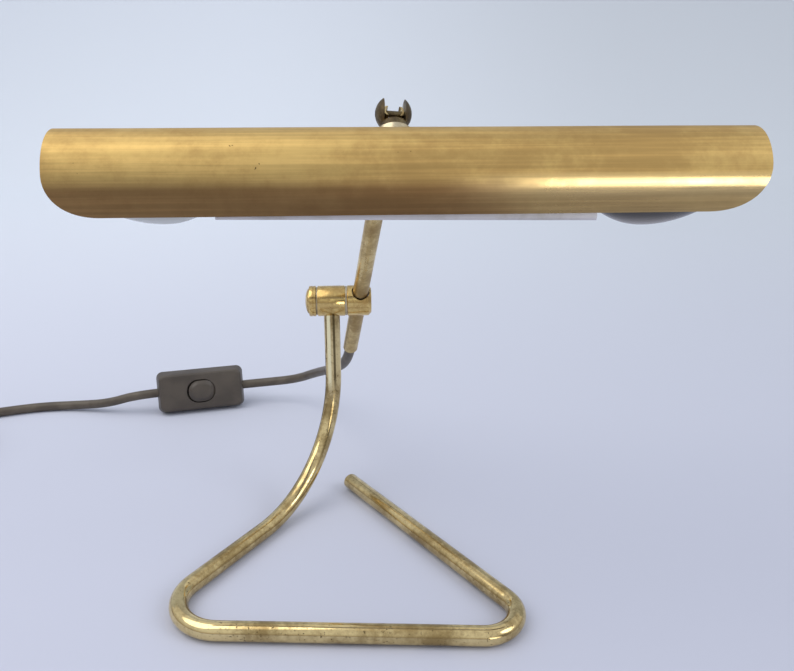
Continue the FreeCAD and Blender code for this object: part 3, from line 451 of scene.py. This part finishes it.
# In the order of the corners below: front left, front right, back right, back left
corner_radii = (0.0205, 0.0240, 0.0172, 0.0172)
sheet_thickness = 0.0008


def rolled_sheet():
    bm = bmesh.new()
    wide = shade_radius * (front_angle + back_angle)
    corners = [(-shade_length / 2, -shade_radius * front_angle), (shade_length / 2, -shade_radius * front_angle),
               (shade_length / 2, shade_radius * back_angle), (-shade_length / 2, shade_radius * back_angle)]
    bm.faces.new([bm.verts.new((x, y, 0)) for x, y in corners])
    for (x, y), corner_radius in zip(corners, corner_radii):
        tip = min(bm.verts, key=lambda vert: math.hypot(vert.co.x - x, vert.co.y - y))
        bmesh.ops.bevel(bm, geom=[tip], offset=corner_radius, offset_type="OFFSET", segments=14,
                        profile=0.5, affect="VERTICES", material=-1)
    strips = 72
    for k in range(1, strips):
        y = -shade_radius * front_angle + wide * k / strips
        bmesh.ops.bisect_plane(bm, geom=bm.verts[:] + bm.edges[:] + bm.faces[:], plane_co=(0, y, 0),
                               plane_no=(0, 1, 0), dist=1e-7)
    for k in range(1, 24):
        x = -shade_length / 2 + shade_length * k / 24
        bmesh.ops.bisect_plane(bm, geom=bm.verts[:] + bm.edges[:] + bm.faces[:], plane_co=(x, 0, 0),
                               plane_no=(1, 0, 0), dist=1e-7)
    for vert in bm.verts:
        angle = vert.co.y / shade_radius
        # A hand-rolled sheet is never quite even: it rises and falls by tenths of a millimetre
        ripple = 1 - 0.004 * (0.5 + 0.5 * math.sin(vert.co.x * 41 + angle * 1.7))
        vert.co = Vector((vert.co.x + shade_shift, math.sin(angle) * shade_radius * ripple,
                          math.cos(angle) * shade_radius * ripple))
    return bm


sheet_bm = rolled_sheet()
print("shade strips", len(sheet_bm.faces))


# %% [markdown]
# The shade's finish needs more than the plain patina. Long polishing lines run along it, and it turns
# darker brown towards its lower front edge. The bright, pale lower right of the front is a painted
# highlight. The bright lower right of the front is painted after the highlight in the photograph and
# isn't known wear. All of it stays in place from any side.


# %% The shade's finish
def shade_material():
    material, tree, shader, where = new_material("shade brass", Metallic=1.0)
    # Local coordinates of the shade: X along it, Z up from its axis
    local = add(tree, "Mapping", {"Vector": where}, vector_type="TEXTURE", Location=tuple(shade_middle))
    local.inputs["Rotation"].default_value = (0, 0, math.radians(shade_turn))
    split = add(tree, "SeparateXYZ", {"Vector": local.outputs[0]})
    worn = place_group(tree, patina_group, local.outputs[0], Bright=(0.66, 0.46, 0.17, 1),
                       Film=(0.50, 0.33, 0.12, 1), Patch__Size=14.0, Film__Cover=0.5, Pit__Cover=0.06, Smooth=0.50, Rough=0.60)
    lines = place_group(tree, lines_group, local.outputs[0], Scale=420.0)
    height = math_node(tree, "ADD", split.outputs["Z"],
                       math_node(tree, "MULTIPLY", math_node(tree, "SUBTRACT", lines.outputs["Broad"], 0.5), 0.008))
    front = ramp(tree, split.outputs["Y"], 0.0, -0.006)
    # Painted highlight: the right end of the lower front is painted paler; the rest of the lower front turns darker
    # brown towards its edge
    highlight_zone = math_node(tree, "MULTIPLY", ramp(tree, split.outputs["X"], 0.01, 0.09), front)
    low = math_node(tree, "MULTIPLY", ramp(tree, height, 0.0035, -0.0045), front)
    low = math_node(tree, "MULTIPLY", low, ramp(tree, highlight_zone, 0.0, 1.0, 0.8, 0.35))
    brown = mix_colour(tree, low, worn.outputs["Color"], (0.20, 0.105, 0.045, 1))
    # A glossier band; its pale colour below is a painted highlight
    glossy_highlight_band = math_node(tree, "MULTIPLY", highlight_zone, ramp(tree, height, 0.006, 0.001))
    painted_highlight = math_node(tree, "MULTIPLY", glossy_highlight_band, ramp(tree, height, -0.010, -0.001, 0.15, 0.6))
    brown = mix_colour(tree, painted_highlight, brown, (0.84, 0.66, 0.34, 1))
    streak = ramp(tree, lines.outputs["Lines"], 0.35, 0.7, 0.86, 1.1)
    streaked = mix_colour(tree, 1.0, brown, streak, "MULTIPLY")
    tree.links.new(streaked, shader.inputs["Base Color"])
    rough = math_node(tree, "ADD", worn.outputs["Roughness"],
                      math_node(tree, "MULTIPLY", math_node(tree, "SUBTRACT", lines.outputs["Lines"], 0.5), 0.12))
    rough = math_node(tree, "SUBTRACT", rough, math_node(tree, "MULTIPLY", glossy_highlight_band, 0.33))
    tree.links.new(rough, shader.inputs["Roughness"])
    relief = math_node(tree, "ADD", worn.outputs["Height"], math_node(tree, "MULTIPLY", lines.outputs["Lines"], 0.25))
    bump(tree, shader, relief, 0.2, 0.0002)
    return material


shade_brass = shade_material()
bmesh.ops.recalc_face_normals(sheet_bm, faces=sheet_bm.faces)
if sum((face.normal.dot(face.calc_center_median()) for face in sheet_bm.faces)) < 0:
    bmesh.ops.reverse_faces(sheet_bm, faces=sheet_bm.faces)
bmesh.ops.solidify(sheet_bm, geom=sheet_bm.faces[:], thickness=sheet_thickness)
rolled_shade = finish_piece(sheet_bm, "rolled_shade", shade_brass, "shade", in_shade, smooth=50.0,
                            stand_for=("shade_sheet",))
print("rolled shade faces", len(rolled_shade.data.polygons))

# %% [markdown]
# ## The bulbs
# Two frosted candle bulbs lie along the shade and show their lower bulge under its edge. The glass
# is blown, so its outline is one smooth curve from the neck to the drawn-out tip. Both bulbs carry
# painted shade, darker higher up under the shade, and the right one is given a darker grey than the left.

# %% The bulbs
def bulb_material(name, clear, deep):
    """Frosted glass with painted shade: pale at its lowest line and darker higher up, under the shade."""
    material, tree, shader, where = new_material(name, Roughness=0.25, Coat__Weight=0.3, Coat__Roughness=0.1)
    height = add(tree, "SeparateXYZ", {"Vector": where}).outputs["Z"]
    cloud = add(tree, "TexNoise", {"Vector": where}, Scale=55.0, Detail=3.0)
    height = math_node(tree, "ADD", height, math_node(tree, "MULTIPLY", cloud.outputs["Fac"], 0.001))
    lowest = shade_middle.z - bulge_radius - bulb_drop
    # Painted shade: the glass turns darker from its lowest line upwards
    share = ramp(tree, height, lowest + 0.0005, lowest + 0.0065)
    tree.links.new(mix_colour(tree, share, (*clear, 1), (*deep, 1)), shader.inputs["Base Color"])
    return material


BULB_LONG = 0.063
bulge_radius, bulge_at = 0.0175, 0.021


def bulb_outline():
    """Two smooth stretches: from the neck to the bulge, and on to the drawn-out tip."""
    bulge = Vector((bulge_radius, bulge_at, 0))
    neck = interpolate_bezier(Vector((0.0089, -0.0048, 0)), Vector((0.0104, 0.0015, 0)),
                              Vector((bulge_radius, 0.0065, 0)), bulge, 11)
    crown = interpolate_bezier(bulge, Vector((bulge_radius, 0.042, 0)), Vector((0.0040, BULB_LONG - 0.0008, 0)),
                               Vector((0, BULB_LONG, 0)), 15)
    return [(point.x, point.y) for point in neck + crown[1:]]


tray_half = 0.0855
tray_shift = 0.0049
holder_out = 0.0040
bulb_drop = 0.0044
tray_tilt = math.radians(0.7)
in_tray = in_shade @ Matrix.Rotation(tray_tilt, 4, "Y")
tray_way = (in_tray.to_3x3() @ Vector((1, 0, 0))).normalized()
# Both glasses carry painted shade; the right one is given a darker grey than the left
bulb_glass = {"left": bulb_material("pale frosted glass", (0.74, 0.77, 0.74), (0.52, 0.53, 0.50)),
              "right": bulb_material("grey frosted glass", (0.22, 0.20, 0.185), (0.045, 0.04, 0.037))}
for hand, sign in (("left", -1), ("right", 1)):
    mouth = in_tray @ Vector((tray_shift + sign * (tray_half + holder_out), 0, -bulb_drop))
    blown = spin_profile(bulb_outline(), 72)
    rim = [edge for edge in blown.edges if len(edge.link_faces) == 1]
    bmesh.ops.edgeloop_fill(blown, edges=rim)
    bulb = finish_piece(blown, "frosted_bulb_" + hand, bulb_glass[hand], "shade",
                        seat(mouth, tray_way * sign, UP), smooth=80.0, stand_for=("bulb_glass_" + hand,))
    rounding = bulb.modifiers.new("rounding", "SUBSURF")
    rounding.levels = 1
    rounding.render_levels = 1
print("bulbs made")

# %% [markdown]
# ## The cord
# A lead like this is one flexible line. It leaves the arm's lower end, drops behind the stem and
# runs through the switch; its spare length lies in a neat coil outside the picture. A NURBS curve
# with a handful of control points gives one smooth line, because each point only pulls at it. The
# points are the ones that the solid cord follows, apart from the first two, inside the arm.

# %% The cord's sheath
CORD = 0.007
sheath, sheath_tree, sheath_shader, sheath_where = new_material(
    "cord sheath", Roughness=0.42, Specular__IOR__Level=0.4)
grime = add(sheath_tree, "TexNoise", {"Vector": sheath_where}, Scale=90.0, Detail=5.0)
sheath_tree.links.new(mix_colour(sheath_tree, ramp(sheath_tree, grime.outputs["Fac"], 0.35, 0.7),
                                 (0.085, 0.068, 0.050, 1), (0.125, 0.102, 0.075, 1)),
                      sheath_shader.inputs["Base Color"])
bump(sheath_tree, sheath_shader, grime.outputs["Fac"], 0.12, 0.0003)


def cord_curve(name, points):
    """One smooth open NURBS line through the pull of its control points."""
    curve = bpy.data.curves.new(name, "CURVE")
    curve.dimensions = "3D"
    curve.resolution_u = 10
    line = curve.splines.new("NURBS")
    line.points.add(len(points) - 1)
    for item, point in zip(line.points, points):
        item.co = (*point, 1)
    line.order_u = 3
    line.use_endpoint_u = True
    piece = bpy.data.objects.new(name, curve)
    scene.collection.objects.link(piece)
    return piece


def read_line(piece):
    """The points and the length of a curve that has no bevel yet."""
    bpy.context.view_layer.update()
    mesh = bpy.data.meshes.new_from_object(piece)
    points = [vert.co.copy() for vert in mesh.vertices]
    ends = [(mesh.vertices[edge.vertices[0]].co, mesh.vertices[edge.vertices[1]].co) for edge in mesh.edges]
    length = sum((a - b).length for a, b in ends)
    bpy.data.meshes.remove(mesh)
    return points, length


arm_cross = Vector(joints["arm_turn"]["pos_m"])
arm_end = arm_cross - arm_way * 0.054
switch_way = heading(90 - 15.3)
switch_draft = math.atan(0.2)
switch_face_way = switch_way.cross(UP) * math.cos(switch_draft) + UP * math.sin(switch_draft)
switch_middle = Vector((-0.1682, 0.1896, 0.0165 * math.cos(switch_draft)))
inside_switch = 0.034 - 0.0075

cord_straight = 0.024
# The first point lies deep in the arm, which keeps the gap small when the arm slides up
drop_points = [arm_end + arm_way * 0.029, arm_end + arm_way * 0.020, arm_end - arm_way * 0.0185,
               Vector((-0.0547, 0.143, 0.052)),
               Vector((-0.072, 0.178, 0.035)), Vector((-0.0907, 0.1985, 0.021)),
               switch_middle + switch_way * (inside_switch + cord_straight),
               switch_middle + switch_way * inside_switch]
drop_line = cord_curve("drop_line", drop_points)
drop_line.data.splines[0].points[0].radius = 0.8
drop_path, drop_length = read_line(drop_line)
drop_line.data.bevel_depth = CORD / 2
drop_line.data.bevel_resolution = 8
drop_line.data.use_fill_caps = True
bpy.context.view_layer.update()
drop_cord = bpy.data.objects.new("cord_to_switch", bpy.data.meshes.new_from_object(drop_line))
bpy.data.objects.remove(drop_line)
scene.collection.objects.link(drop_cord)
drop_cord.data.materials.clear()
drop_cord.data.materials.append(sheath)
drop_cord.data.shade_smooth()
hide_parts("lead_drop")
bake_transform(drop_cord)
print("cord to the switch", round(drop_length, 3))

# %% [markdown]
# ## The coil
# The photograph shows the cord only as far as its left edge. The rest of a usual lead of about
# 1.8 m is put away as a flat coil in two layers, just outside the view, with the plug beside it.

# %% The coil
coil_middle = Vector((-0.362, 0.098, CORD / 2))
coil_radius, coil_pitch, coil_step, coil_turns = 0.050, 0.0079, 0.0075, 5.174
coil_start = math.radians(117.5)


def coil_point(turn):
    half = coil_turns / 2
    away = turn - half
    inner = coil_radius - coil_pitch * half
    if abs(away) > 0.25:
        radius = inner + coil_pitch * abs(away)
        lift = 0.0 if away < 0 else coil_step
    else:
        radius = inner + coil_pitch * (0.125 + away * away / 0.5)
        share = (away + 0.25) / 0.5
        lift = coil_step * share * share * (3 - 2 * share)
    angle = coil_start + 2 * math.pi * turn
    return coil_middle + Vector((radius * math.cos(angle), radius * math.sin(angle), lift))


side_points = [switch_middle - switch_way * inside_switch,
               switch_middle - switch_way * (inside_switch + cord_straight), Vector((-0.241, 0.1785, 0.008)),
               Vector((-0.268, 0.184, 0.004)), Vector((-0.2965, 0.182, 0.0035)), Vector((-0.325, 0.172, 0.0035)),
               Vector((-0.3525, 0.1594, 0.0035))]
turn_points = [coil_point(coil_turns * k / 92) for k in range(93)]
plug_at = Vector((-0.4152, 0.044, 0.007))
plug_way = heading(183.4)
tail_points = [Vector((-0.41205, 0.077, 0.011)), plug_at - plug_way * 0.0165, plug_at]
side_cord = cord_curve("cord_to_plug", side_points + turn_points + tail_points)
side_length = read_line(side_cord)[1]
side_cord.data.bevel_depth = CORD / 2
side_cord.data.bevel_resolution = 6
side_cord.data.use_fill_caps = True
side_cord.data.materials.append(sheath)
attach(side_cord, "base")
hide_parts("lead_side", "lead_coil", "lead_tail")
print("cord to the plug", round(side_length, 3))

# %% [markdown]
# ## The switch
# The in-line switch is two thin moulded shells that meet at a seam, with a round-ended key in the
# front one. Moulded parts have a slight taper, so that they leave the mould, and no sharp edge
# anywhere. A flat rectangle with bevelled corners is extruded, drawn in a little and bevelled.

# %% The switch
moulded, moulded_tree, moulded_shader, moulded_where = new_material(
    "switch plastic", Roughness=0.4, Specular__IOR__Level=0.45)
pebble = add(moulded_tree, "TexNoise", {"Vector": moulded_where}, Scale=1500.0, Detail=2.0)
handled = add(moulded_tree, "TexNoise", {"Vector": moulded_where}, Scale=60.0, Detail=4.0)
moulded_tree.links.new(mix_colour(moulded_tree, ramp(moulded_tree, handled.outputs["Fac"], 0.35, 0.7),
                                  (0.062, 0.050, 0.040, 1), (0.088, 0.072, 0.056, 1)),
                       moulded_shader.inputs["Base Color"])
bump(moulded_tree, moulded_shader, pebble.outputs["Fac"], 0.1, 0.0001)
on_switch = seat(switch_middle, switch_face_way, switch_way)
SWITCH_LONG, SWITCH_HIGH = 0.068, 0.033
KEY_LONG, KEY_HIGH = 0.0206, 0.0170


def rounded_plate(bm, long, high, corner, z, segments=8):
    """Flat face with four rounded corners, at height z."""
    corners = [(-long / 2, -high / 2), (long / 2, -high / 2), (long / 2, high / 2), (-long / 2, high / 2)]
    plate = bm.faces.new([bm.verts.new((x, y, z)) for x, y in corners])
    bmesh.ops.bevel(bm, geom=list(plate.verts), offset=corner, offset_type="OFFSET", segments=segments,
                    profile=0.5, affect="VERTICES", material=-1)
    # The bevel may put a new face in the plate's place: it is then the newest one
    return bm.faces[:][-1]


def raise_plate(bm, plate, step, draw_in, long, high):
    """Extrude a face upwards and draw its outline in evenly."""
    made = bmesh.ops.extrude_face_region(bm, geom=[plate])["geom"]
    verts = [item for item in made if isinstance(item, bmesh.types.BMVert)]
    top = [item for item in made if isinstance(item, bmesh.types.BMFace)][0]
    bmesh.ops.translate(bm, vec=(0, 0, step), verts=verts)
    bmesh.ops.scale(bm, vec=(1 - 2 * draw_in / long, 1 - 2 * draw_in / high, 1), verts=verts)
    return top


def half_shell(sign, depth):
    bm = bmesh.new()
    plate = rounded_plate(bm, SWITCH_LONG, SWITCH_HIGH, 0.005, 0.0)
    lip = raise_plate(bm, plate, sign * 0.0005, -0.0002, SWITCH_LONG, SWITCH_HIGH)
    top = raise_plate(bm, lip, sign * (depth - 0.0005), 0.0021, SWITCH_LONG, SWITCH_HIGH)
    soften(bm, top.edges, 0.0017, 5)
    return bm


def stadium_cutter(long, high, low, top):
    bm = bmesh.new()
    plate = rounded_plate(bm, long, high, high / 2 - 0.0001, low, 16)
    raise_plate(bm, plate, top - low, 0.0, long, high)
    bmesh.ops.recalc_face_normals(bm, faces=bm.faces)
    mesh = bpy.data.meshes.new("cutter")
    bm.to_mesh(mesh)
    bm.free()
    cutter = bpy.data.objects.new("cutter", mesh)
    scene.collection.objects.link(cutter)
    return cutter


def cut_away(piece, cutter):
    """Boolean difference, applied at once, so that the cutter can go."""
    tool = piece.modifiers.new("opening", "BOOLEAN")
    tool.operation = "DIFFERENCE"
    tool.solver = "EXACT"
    tool.object = cutter
    bpy.context.view_layer.update()
    evaluated = piece.evaluated_get(bpy.context.evaluated_depsgraph_get())
    cut = bpy.data.meshes.new_from_object(evaluated)
    piece.modifiers.clear()
    piece.data = cut
    bpy.data.objects.remove(cutter)
    return piece


well = stadium_cutter(KEY_LONG + 0.0019, KEY_HIGH + 0.0019, 0.0045, 0.02)
well.data.transform(on_switch)
face_shell = finish_piece(half_shell(1, 0.010), "switch_face_shell_moulded", moulded, "base", on_switch,
                          stand_for=("switch_face_shell",))
cut_away(face_shell, well)
back_shell = finish_piece(half_shell(-1, 0.010), "switch_back_shell_moulded", moulded, "base",
                          on_switch, stand_for=("switch_back_shell",))
for x in (-0.019, 0.019):
    sink = stadium_cutter(0.0046, 0.0046, -0.0115, -0.0086)
    sink.data.transform(on_switch @ Matrix.Translation((x, 0, 0)))
    cut_away(back_shell, sink)
for shell in (face_shell, back_shell):
    shell.data.shade_smooth()
    shell.data.set_sharp_from_angle(angle=math.radians(38))


def rocker_key():
    """Round-ended key: a flat part and a raised pad whose top slopes a little, tipped to its left."""
    bm = bmesh.new()
    plate = rounded_plate(bm, KEY_LONG, KEY_HIGH, KEY_HIGH / 2 - 0.0004, 0.0036, 14)
    top = raise_plate(bm, plate, 0.0068, 0.0, KEY_LONG, KEY_HIGH)
    ring = raise_plate(bm, top, 0.0004, 0.0012, KEY_LONG, KEY_HIGH)
    pad = raise_plate(bm, ring, 0.0012, 0.0016, KEY_LONG, KEY_HIGH)
    soften(bm, pad.edges, 0.0006, 3)
    for vert in bm.verts:
        if vert.co.z > 0.0112:
            vert.co.z += 0.0007 * (vert.co.x / KEY_LONG) * -1.0
    pivot = Matrix.Translation((0, 0, 0.0048))
    tip = pivot @ Matrix.Rotation(math.radians(7.0), 4, "Y") @ pivot.inverted()
    return finish_piece(bm, "switch_key_moulded", moulded, "rocker", on_switch @ tip, smooth=40.0,
                        stand_for=("switch_rocker",))


rocker_key()
print("switch made")

# %% [markdown]
# ## The plug
# The plug is one soft moulding on two round pins, narrow at the cord and wide at the pins, with a
# ribbed sleeve that keeps the cord from kinking. Rings of the same number of points, bridged one
# to the next, give the flowing form of such a moulding.

# %% The plug
on_plug = seat(plug_at, plug_way, Vector((1, 0, 0)))


def ring_at(bm, long, high, corner, z):
    plate = rounded_plate(bm, long, high, corner, z, 6)
    edges = list(plate.edges)
    bmesh.ops.delete(bm, geom=[plate], context="FACES_ONLY")
    return edges


def plug_moulding():
    bm = bmesh.new()
    sections = [(0.0138, 0.0110, 0.0050, 0.0221), (0.0150, 0.0120, 0.0054, 0.0228), (0.0182, 0.0128, 0.0054, 0.0290),
                (0.0262, 0.0138, 0.0054, 0.0380), (0.0322, 0.0139, 0.0056, 0.0460), (0.0338, 0.0139, 0.0058, 0.0510),
                (0.0338, 0.0139, 0.0058, 0.0566), (0.0326, 0.0128, 0.0054, 0.0580)]
    rings = [ring_at(bm, *section) for section in sections]
    for first, second in zip(rings, rings[1:]):
        bmesh.ops.bridge_loops(bm, edges=first + second)
    for end in (rings[0], rings[-1]):
        bmesh.ops.edgeloop_fill(bm, edges=end)
    return finish_piece(bm, "plug_moulding", moulded, "base", on_plug, smooth=40.0,
                        stand_for=("plug_body",))


plug = plug_moulding()
sleeve_outline = [(0.0, 0.0002), (0.0038, 0.0002), (0.0042, 0.0008)]
for k in range(6):
    z = 0.0022 + 0.0033 * k
    wide = 0.0044 + 0.00022 * k
    sleeve_outline += [(wide, z), (wide, z + 0.0016), (wide - 0.0006, z + 0.0020), (wide - 0.0006, z + 0.0028)]
sleeve_outline += [(0.0056, 0.0214), (0.0, 0.0220)]
sleeve = finish_piece(spin_profile(sleeve_outline, 40), "plug_sleeve", moulded, "base", on_plug,
                      stand_for=("plug_relief",))

# %% [markdown]
# ## Finishes for the carried-over pieces
# The arm, the ball, the holder, the tray and the small parts keep the shapes of the CAD model, and
# get finishes of their own.

# %% Finishes for the carried-over pieces
enamel, enamel_tree, enamel_shader, enamel_where = new_material(
    "tray enamel", Roughness=0.38, Coat__Weight=0.15)
dust = add(enamel_tree, "TexNoise", {"Vector": enamel_where}, Scale=40.0, Detail=6.0, Roughness=0.65)
enamel_tree.links.new(mix_colour(enamel_tree, ramp(enamel_tree, dust.outputs["Fac"], 0.42, 0.75),
                                 (0.56, 0.54, 0.555, 1), (0.40, 0.37, 0.345, 1)),
                       enamel_shader.inputs["Base Color"])
bump(enamel_tree, enamel_shader, dust.outputs["Fac"], 0.08, 0.0003)


def plain_metal(name, colour, dull, roughness, scale):
    material, tree, shader, where = new_material(name, Metallic=1.0)
    grain = add(tree, "TexNoise", {"Vector": where}, Scale=scale, Detail=4.0)
    tree.links.new(mix_colour(tree, ramp(tree, grain.outputs["Fac"], 0.35, 0.7), (*colour, 1), (*dull, 1)),
                   shader.inputs["Base Color"])
    tree.links.new(ramp(tree, grain.outputs["Fac"], 0.3, 0.7, roughness, roughness + 0.18),
                   shader.inputs["Roughness"])
    bump(tree, shader, grain.outputs["Fac"], 0.08, 0.0001)
    return material


def plain_moulding(name, colour, dull, roughness, scale):
    material, tree, shader, where = new_material(name, Roughness=roughness)
    grain = add(tree, "TexNoise", {"Vector": where}, Scale=scale, Detail=4.0)
    tree.links.new(mix_colour(tree, ramp(tree, grain.outputs["Fac"], 0.35, 0.7), (*colour, 1), (*dull, 1)),
                   shader.inputs["Base Color"])
    bump(tree, shader, grain.outputs["Fac"], 0.06, 0.0001)
    return material


steel = plain_metal("plain steel", (0.56, 0.56, 0.57), (0.40, 0.39, 0.38), 0.28, 300)
cap_metal = plain_metal("cap metal", (0.72, 0.72, 0.73), (0.58, 0.57, 0.56), 0.25, 400)
solder = plain_metal("solder", (0.50, 0.50, 0.52), (0.38, 0.38, 0.39), 0.4, 500)
phenolic = plain_moulding("dark phenolic", (0.045, 0.033, 0.026), (0.075, 0.055, 0.042), 0.3, 160)
block_plastic = plain_moulding("block plastic", (0.66, 0.63, 0.56), (0.55, 0.52, 0.46), 0.5, 200)
core_sleeve = plain_moulding("core sleeve", (0.30, 0.19, 0.12), (0.38, 0.27, 0.18), 0.55, 500)

finishes = {
    arm_brass: ["arm_tube"],
    knuckle_brass: ["arm_holder"],
    dark_brass: ["slotted_ball", "pivot_pin"],
    washer_brass: ["saddle_washer", "knob_washer", "slip_washer"],
    turned_brass: ["hollow_stud", "stud_nut", "plug_pins", "switch_contacts", "switch_bridge",
                   "thread_sleeve_left", "thread_sleeve_right", "centre_contact_left", "centre_contact_right"],
    enamel: ["lamp_tray"],
    steel: ["eye_bolt", "tray_screws", "terminal_screws", "switch_screws", "tray_hanger"],
    cap_metal: ["bulb_cap_left", "bulb_cap_right"],
    solder: ["bulb_tip_left", "bulb_tip_right"],
    phenolic: ["lampholder_left", "lampholder_right", "cord_bush"],
    block_plastic: ["terminal_block"],
    moulded: ["cord_grips"],
    sheath: ["arm_lead"],
    core_sleeve: ["joint_wires", "tray_wires"],
}
for material, names in finishes.items():
    for name in names:
        nodes[name].data.materials.clear()
        nodes[name].data.materials.append(material)
dressed = {name for names in finishes.values() for name in names}
print("carried over", len(dressed))

# %% [markdown]
# ## Floor, backdrop and light
# The lamp stands on a pale sweep: a floor that curves up into a backdrop, so that no line shows
# behind it. Brass is only as good as what it reflects, so one large soft lamp hangs above on the
# left, a weaker one on the right and a dim one low at the right, in a calm pale room.

# %% Floor, backdrop and light
sweep_bm = bmesh.new()
profile = [(0, -3.0, 0), (0, 1.3, 0)]
chain = [sweep_bm.verts.new(point) for point in profile]
edge = sweep_bm.edges.new(chain)
spun = bmesh.ops.spin(sweep_bm, geom=[chain[1]], cent=(0, 1.3, 0.9), axis=(1, 0, 0), dvec=(0, 0, 0),
                      angle=math.radians(80), steps=32, use_duplicate=False)
last = [item for item in spun["geom_last"] if isinstance(item, bmesh.types.BMVert)][0]
made = bmesh.ops.extrude_vert_indiv(sweep_bm, verts=[last])
bmesh.ops.translate(sweep_bm, vec=(0, 0.25, 1.6), verts=made["verts"])
line_edges = sweep_bm.edges[:]
bmesh.ops.translate(sweep_bm, vec=(-4, 0, 0), verts=sweep_bm.verts)
made = bmesh.ops.extrude_edge_only(sweep_bm, edges=line_edges)["geom"]
far_side = [item for item in made if isinstance(item, bmesh.types.BMVert)]
bmesh.ops.translate(sweep_bm, vec=(8, 0, 0), verts=far_side)
bmesh.ops.translate(sweep_bm, vec=(0, 0, -0.0003), verts=sweep_bm.verts)
sweep_mesh = bpy.data.meshes.new("pale_sweep")
sweep_bm.to_mesh(sweep_mesh)
sweep_bm.free()
sweep_mesh.shade_smooth()
sweep = bpy.data.objects.new("pale_sweep", sweep_mesh)
scene.collection.objects.link(sweep)
paper, paper_tree, paper_shader, paper_where = new_material(
    "pale paper", Roughness=0.9, Specular__IOR__Level=0.15)
rise = add(paper_tree, "SeparateXYZ", {"Vector": paper_where})
# Painted light: the paper is painted brighter up the backdrop than on the floor, and darker towards the right
away = mix_colour(paper_tree, ramp(paper_tree, rise.outputs["Y"], -0.2, 1.5),
                  (0.59, 0.61, 0.72, 1), (0.88, 0.93, 1.0, 1))
painted_right_shade = mix_colour(paper_tree, ramp(paper_tree, rise.outputs["X"], -0.5, 0.7),
                    (1.0, 1.0, 1.0, 1), (0.84, 0.84, 0.83, 1))
paper_tree.links.new(mix_colour(paper_tree, 1.0, away, painted_right_shade, "MULTIPLY"), paper_shader.inputs["Base Color"])
sweep_mesh.materials.append(paper)


def soft_lamp(name, place, aim, size, power, colour):
    data = bpy.data.lights.new(name, "AREA")
    data.shape = "DISK"
    data.size = size
    data.energy = power
    data.color = colour
    lamp = bpy.data.objects.new(name, data)
    lamp.visible_camera = False
    lamp.location = place
    lamp.rotation_euler = (Vector(aim) - Vector(place)).to_track_quat("-Z", "Y").to_euler()
    scene.collection.objects.link(lamp)
    return lamp


soft_lamp("key_light", (-0.9, -0.2, 1.5), (0, 0, 0.1), 1.6, 10.5, (1.0, 0.97, 0.92))
soft_lamp("fill_light", (1.3, -0.5, 1.0), (0, 0, 0.1), 0.9, 6.0, (0.92, 0.95, 1.0))
glow = soft_lamp("table_glow", (0.37, -0.68, 0.12), (0.12, -0.05, 0.22), 0.36, 0.11, (1.0, 0.97, 0.90))
glow.data.shape = "RECTANGLE"
glow.data.size_y = 0.21
glow.data.spread = math.radians(60)

world = bpy.data.worlds.new("pale room")
scene.world = world
world.use_nodes = True
sky = world.node_tree
ground = sky.nodes["Background"]
looking = sky.nodes.new("ShaderNodeTexCoord").outputs["Generated"]
parts = add(sky, "SeparateXYZ", {"Vector": looking})
high = mix_colour(sky, ramp(sky, parts.outputs["Z"], -0.05, 0.5), (0.42, 0.40, 0.40, 1), (0.84, 0.87, 0.94, 1))
# The room is darkest beyond the viewer's right shoulder
side = math_node(sky, "SUBTRACT", math_node(sky, "MULTIPLY", parts.outputs["X"], 0.6),
                 math_node(sky, "MULTIPLY", parts.outputs["Y"], 0.8))
corner = math_node(sky, "MULTIPLY", ramp(sky, side, 0.82, 0.97), ramp(sky, parts.outputs["Z"], 0.5, 0.25))
sky.links.new(mix_colour(sky, corner, high, (0.20, 0.195, 0.19, 1)), ground.inputs["Color"])
ground.inputs["Strength"].default_value = 0.87
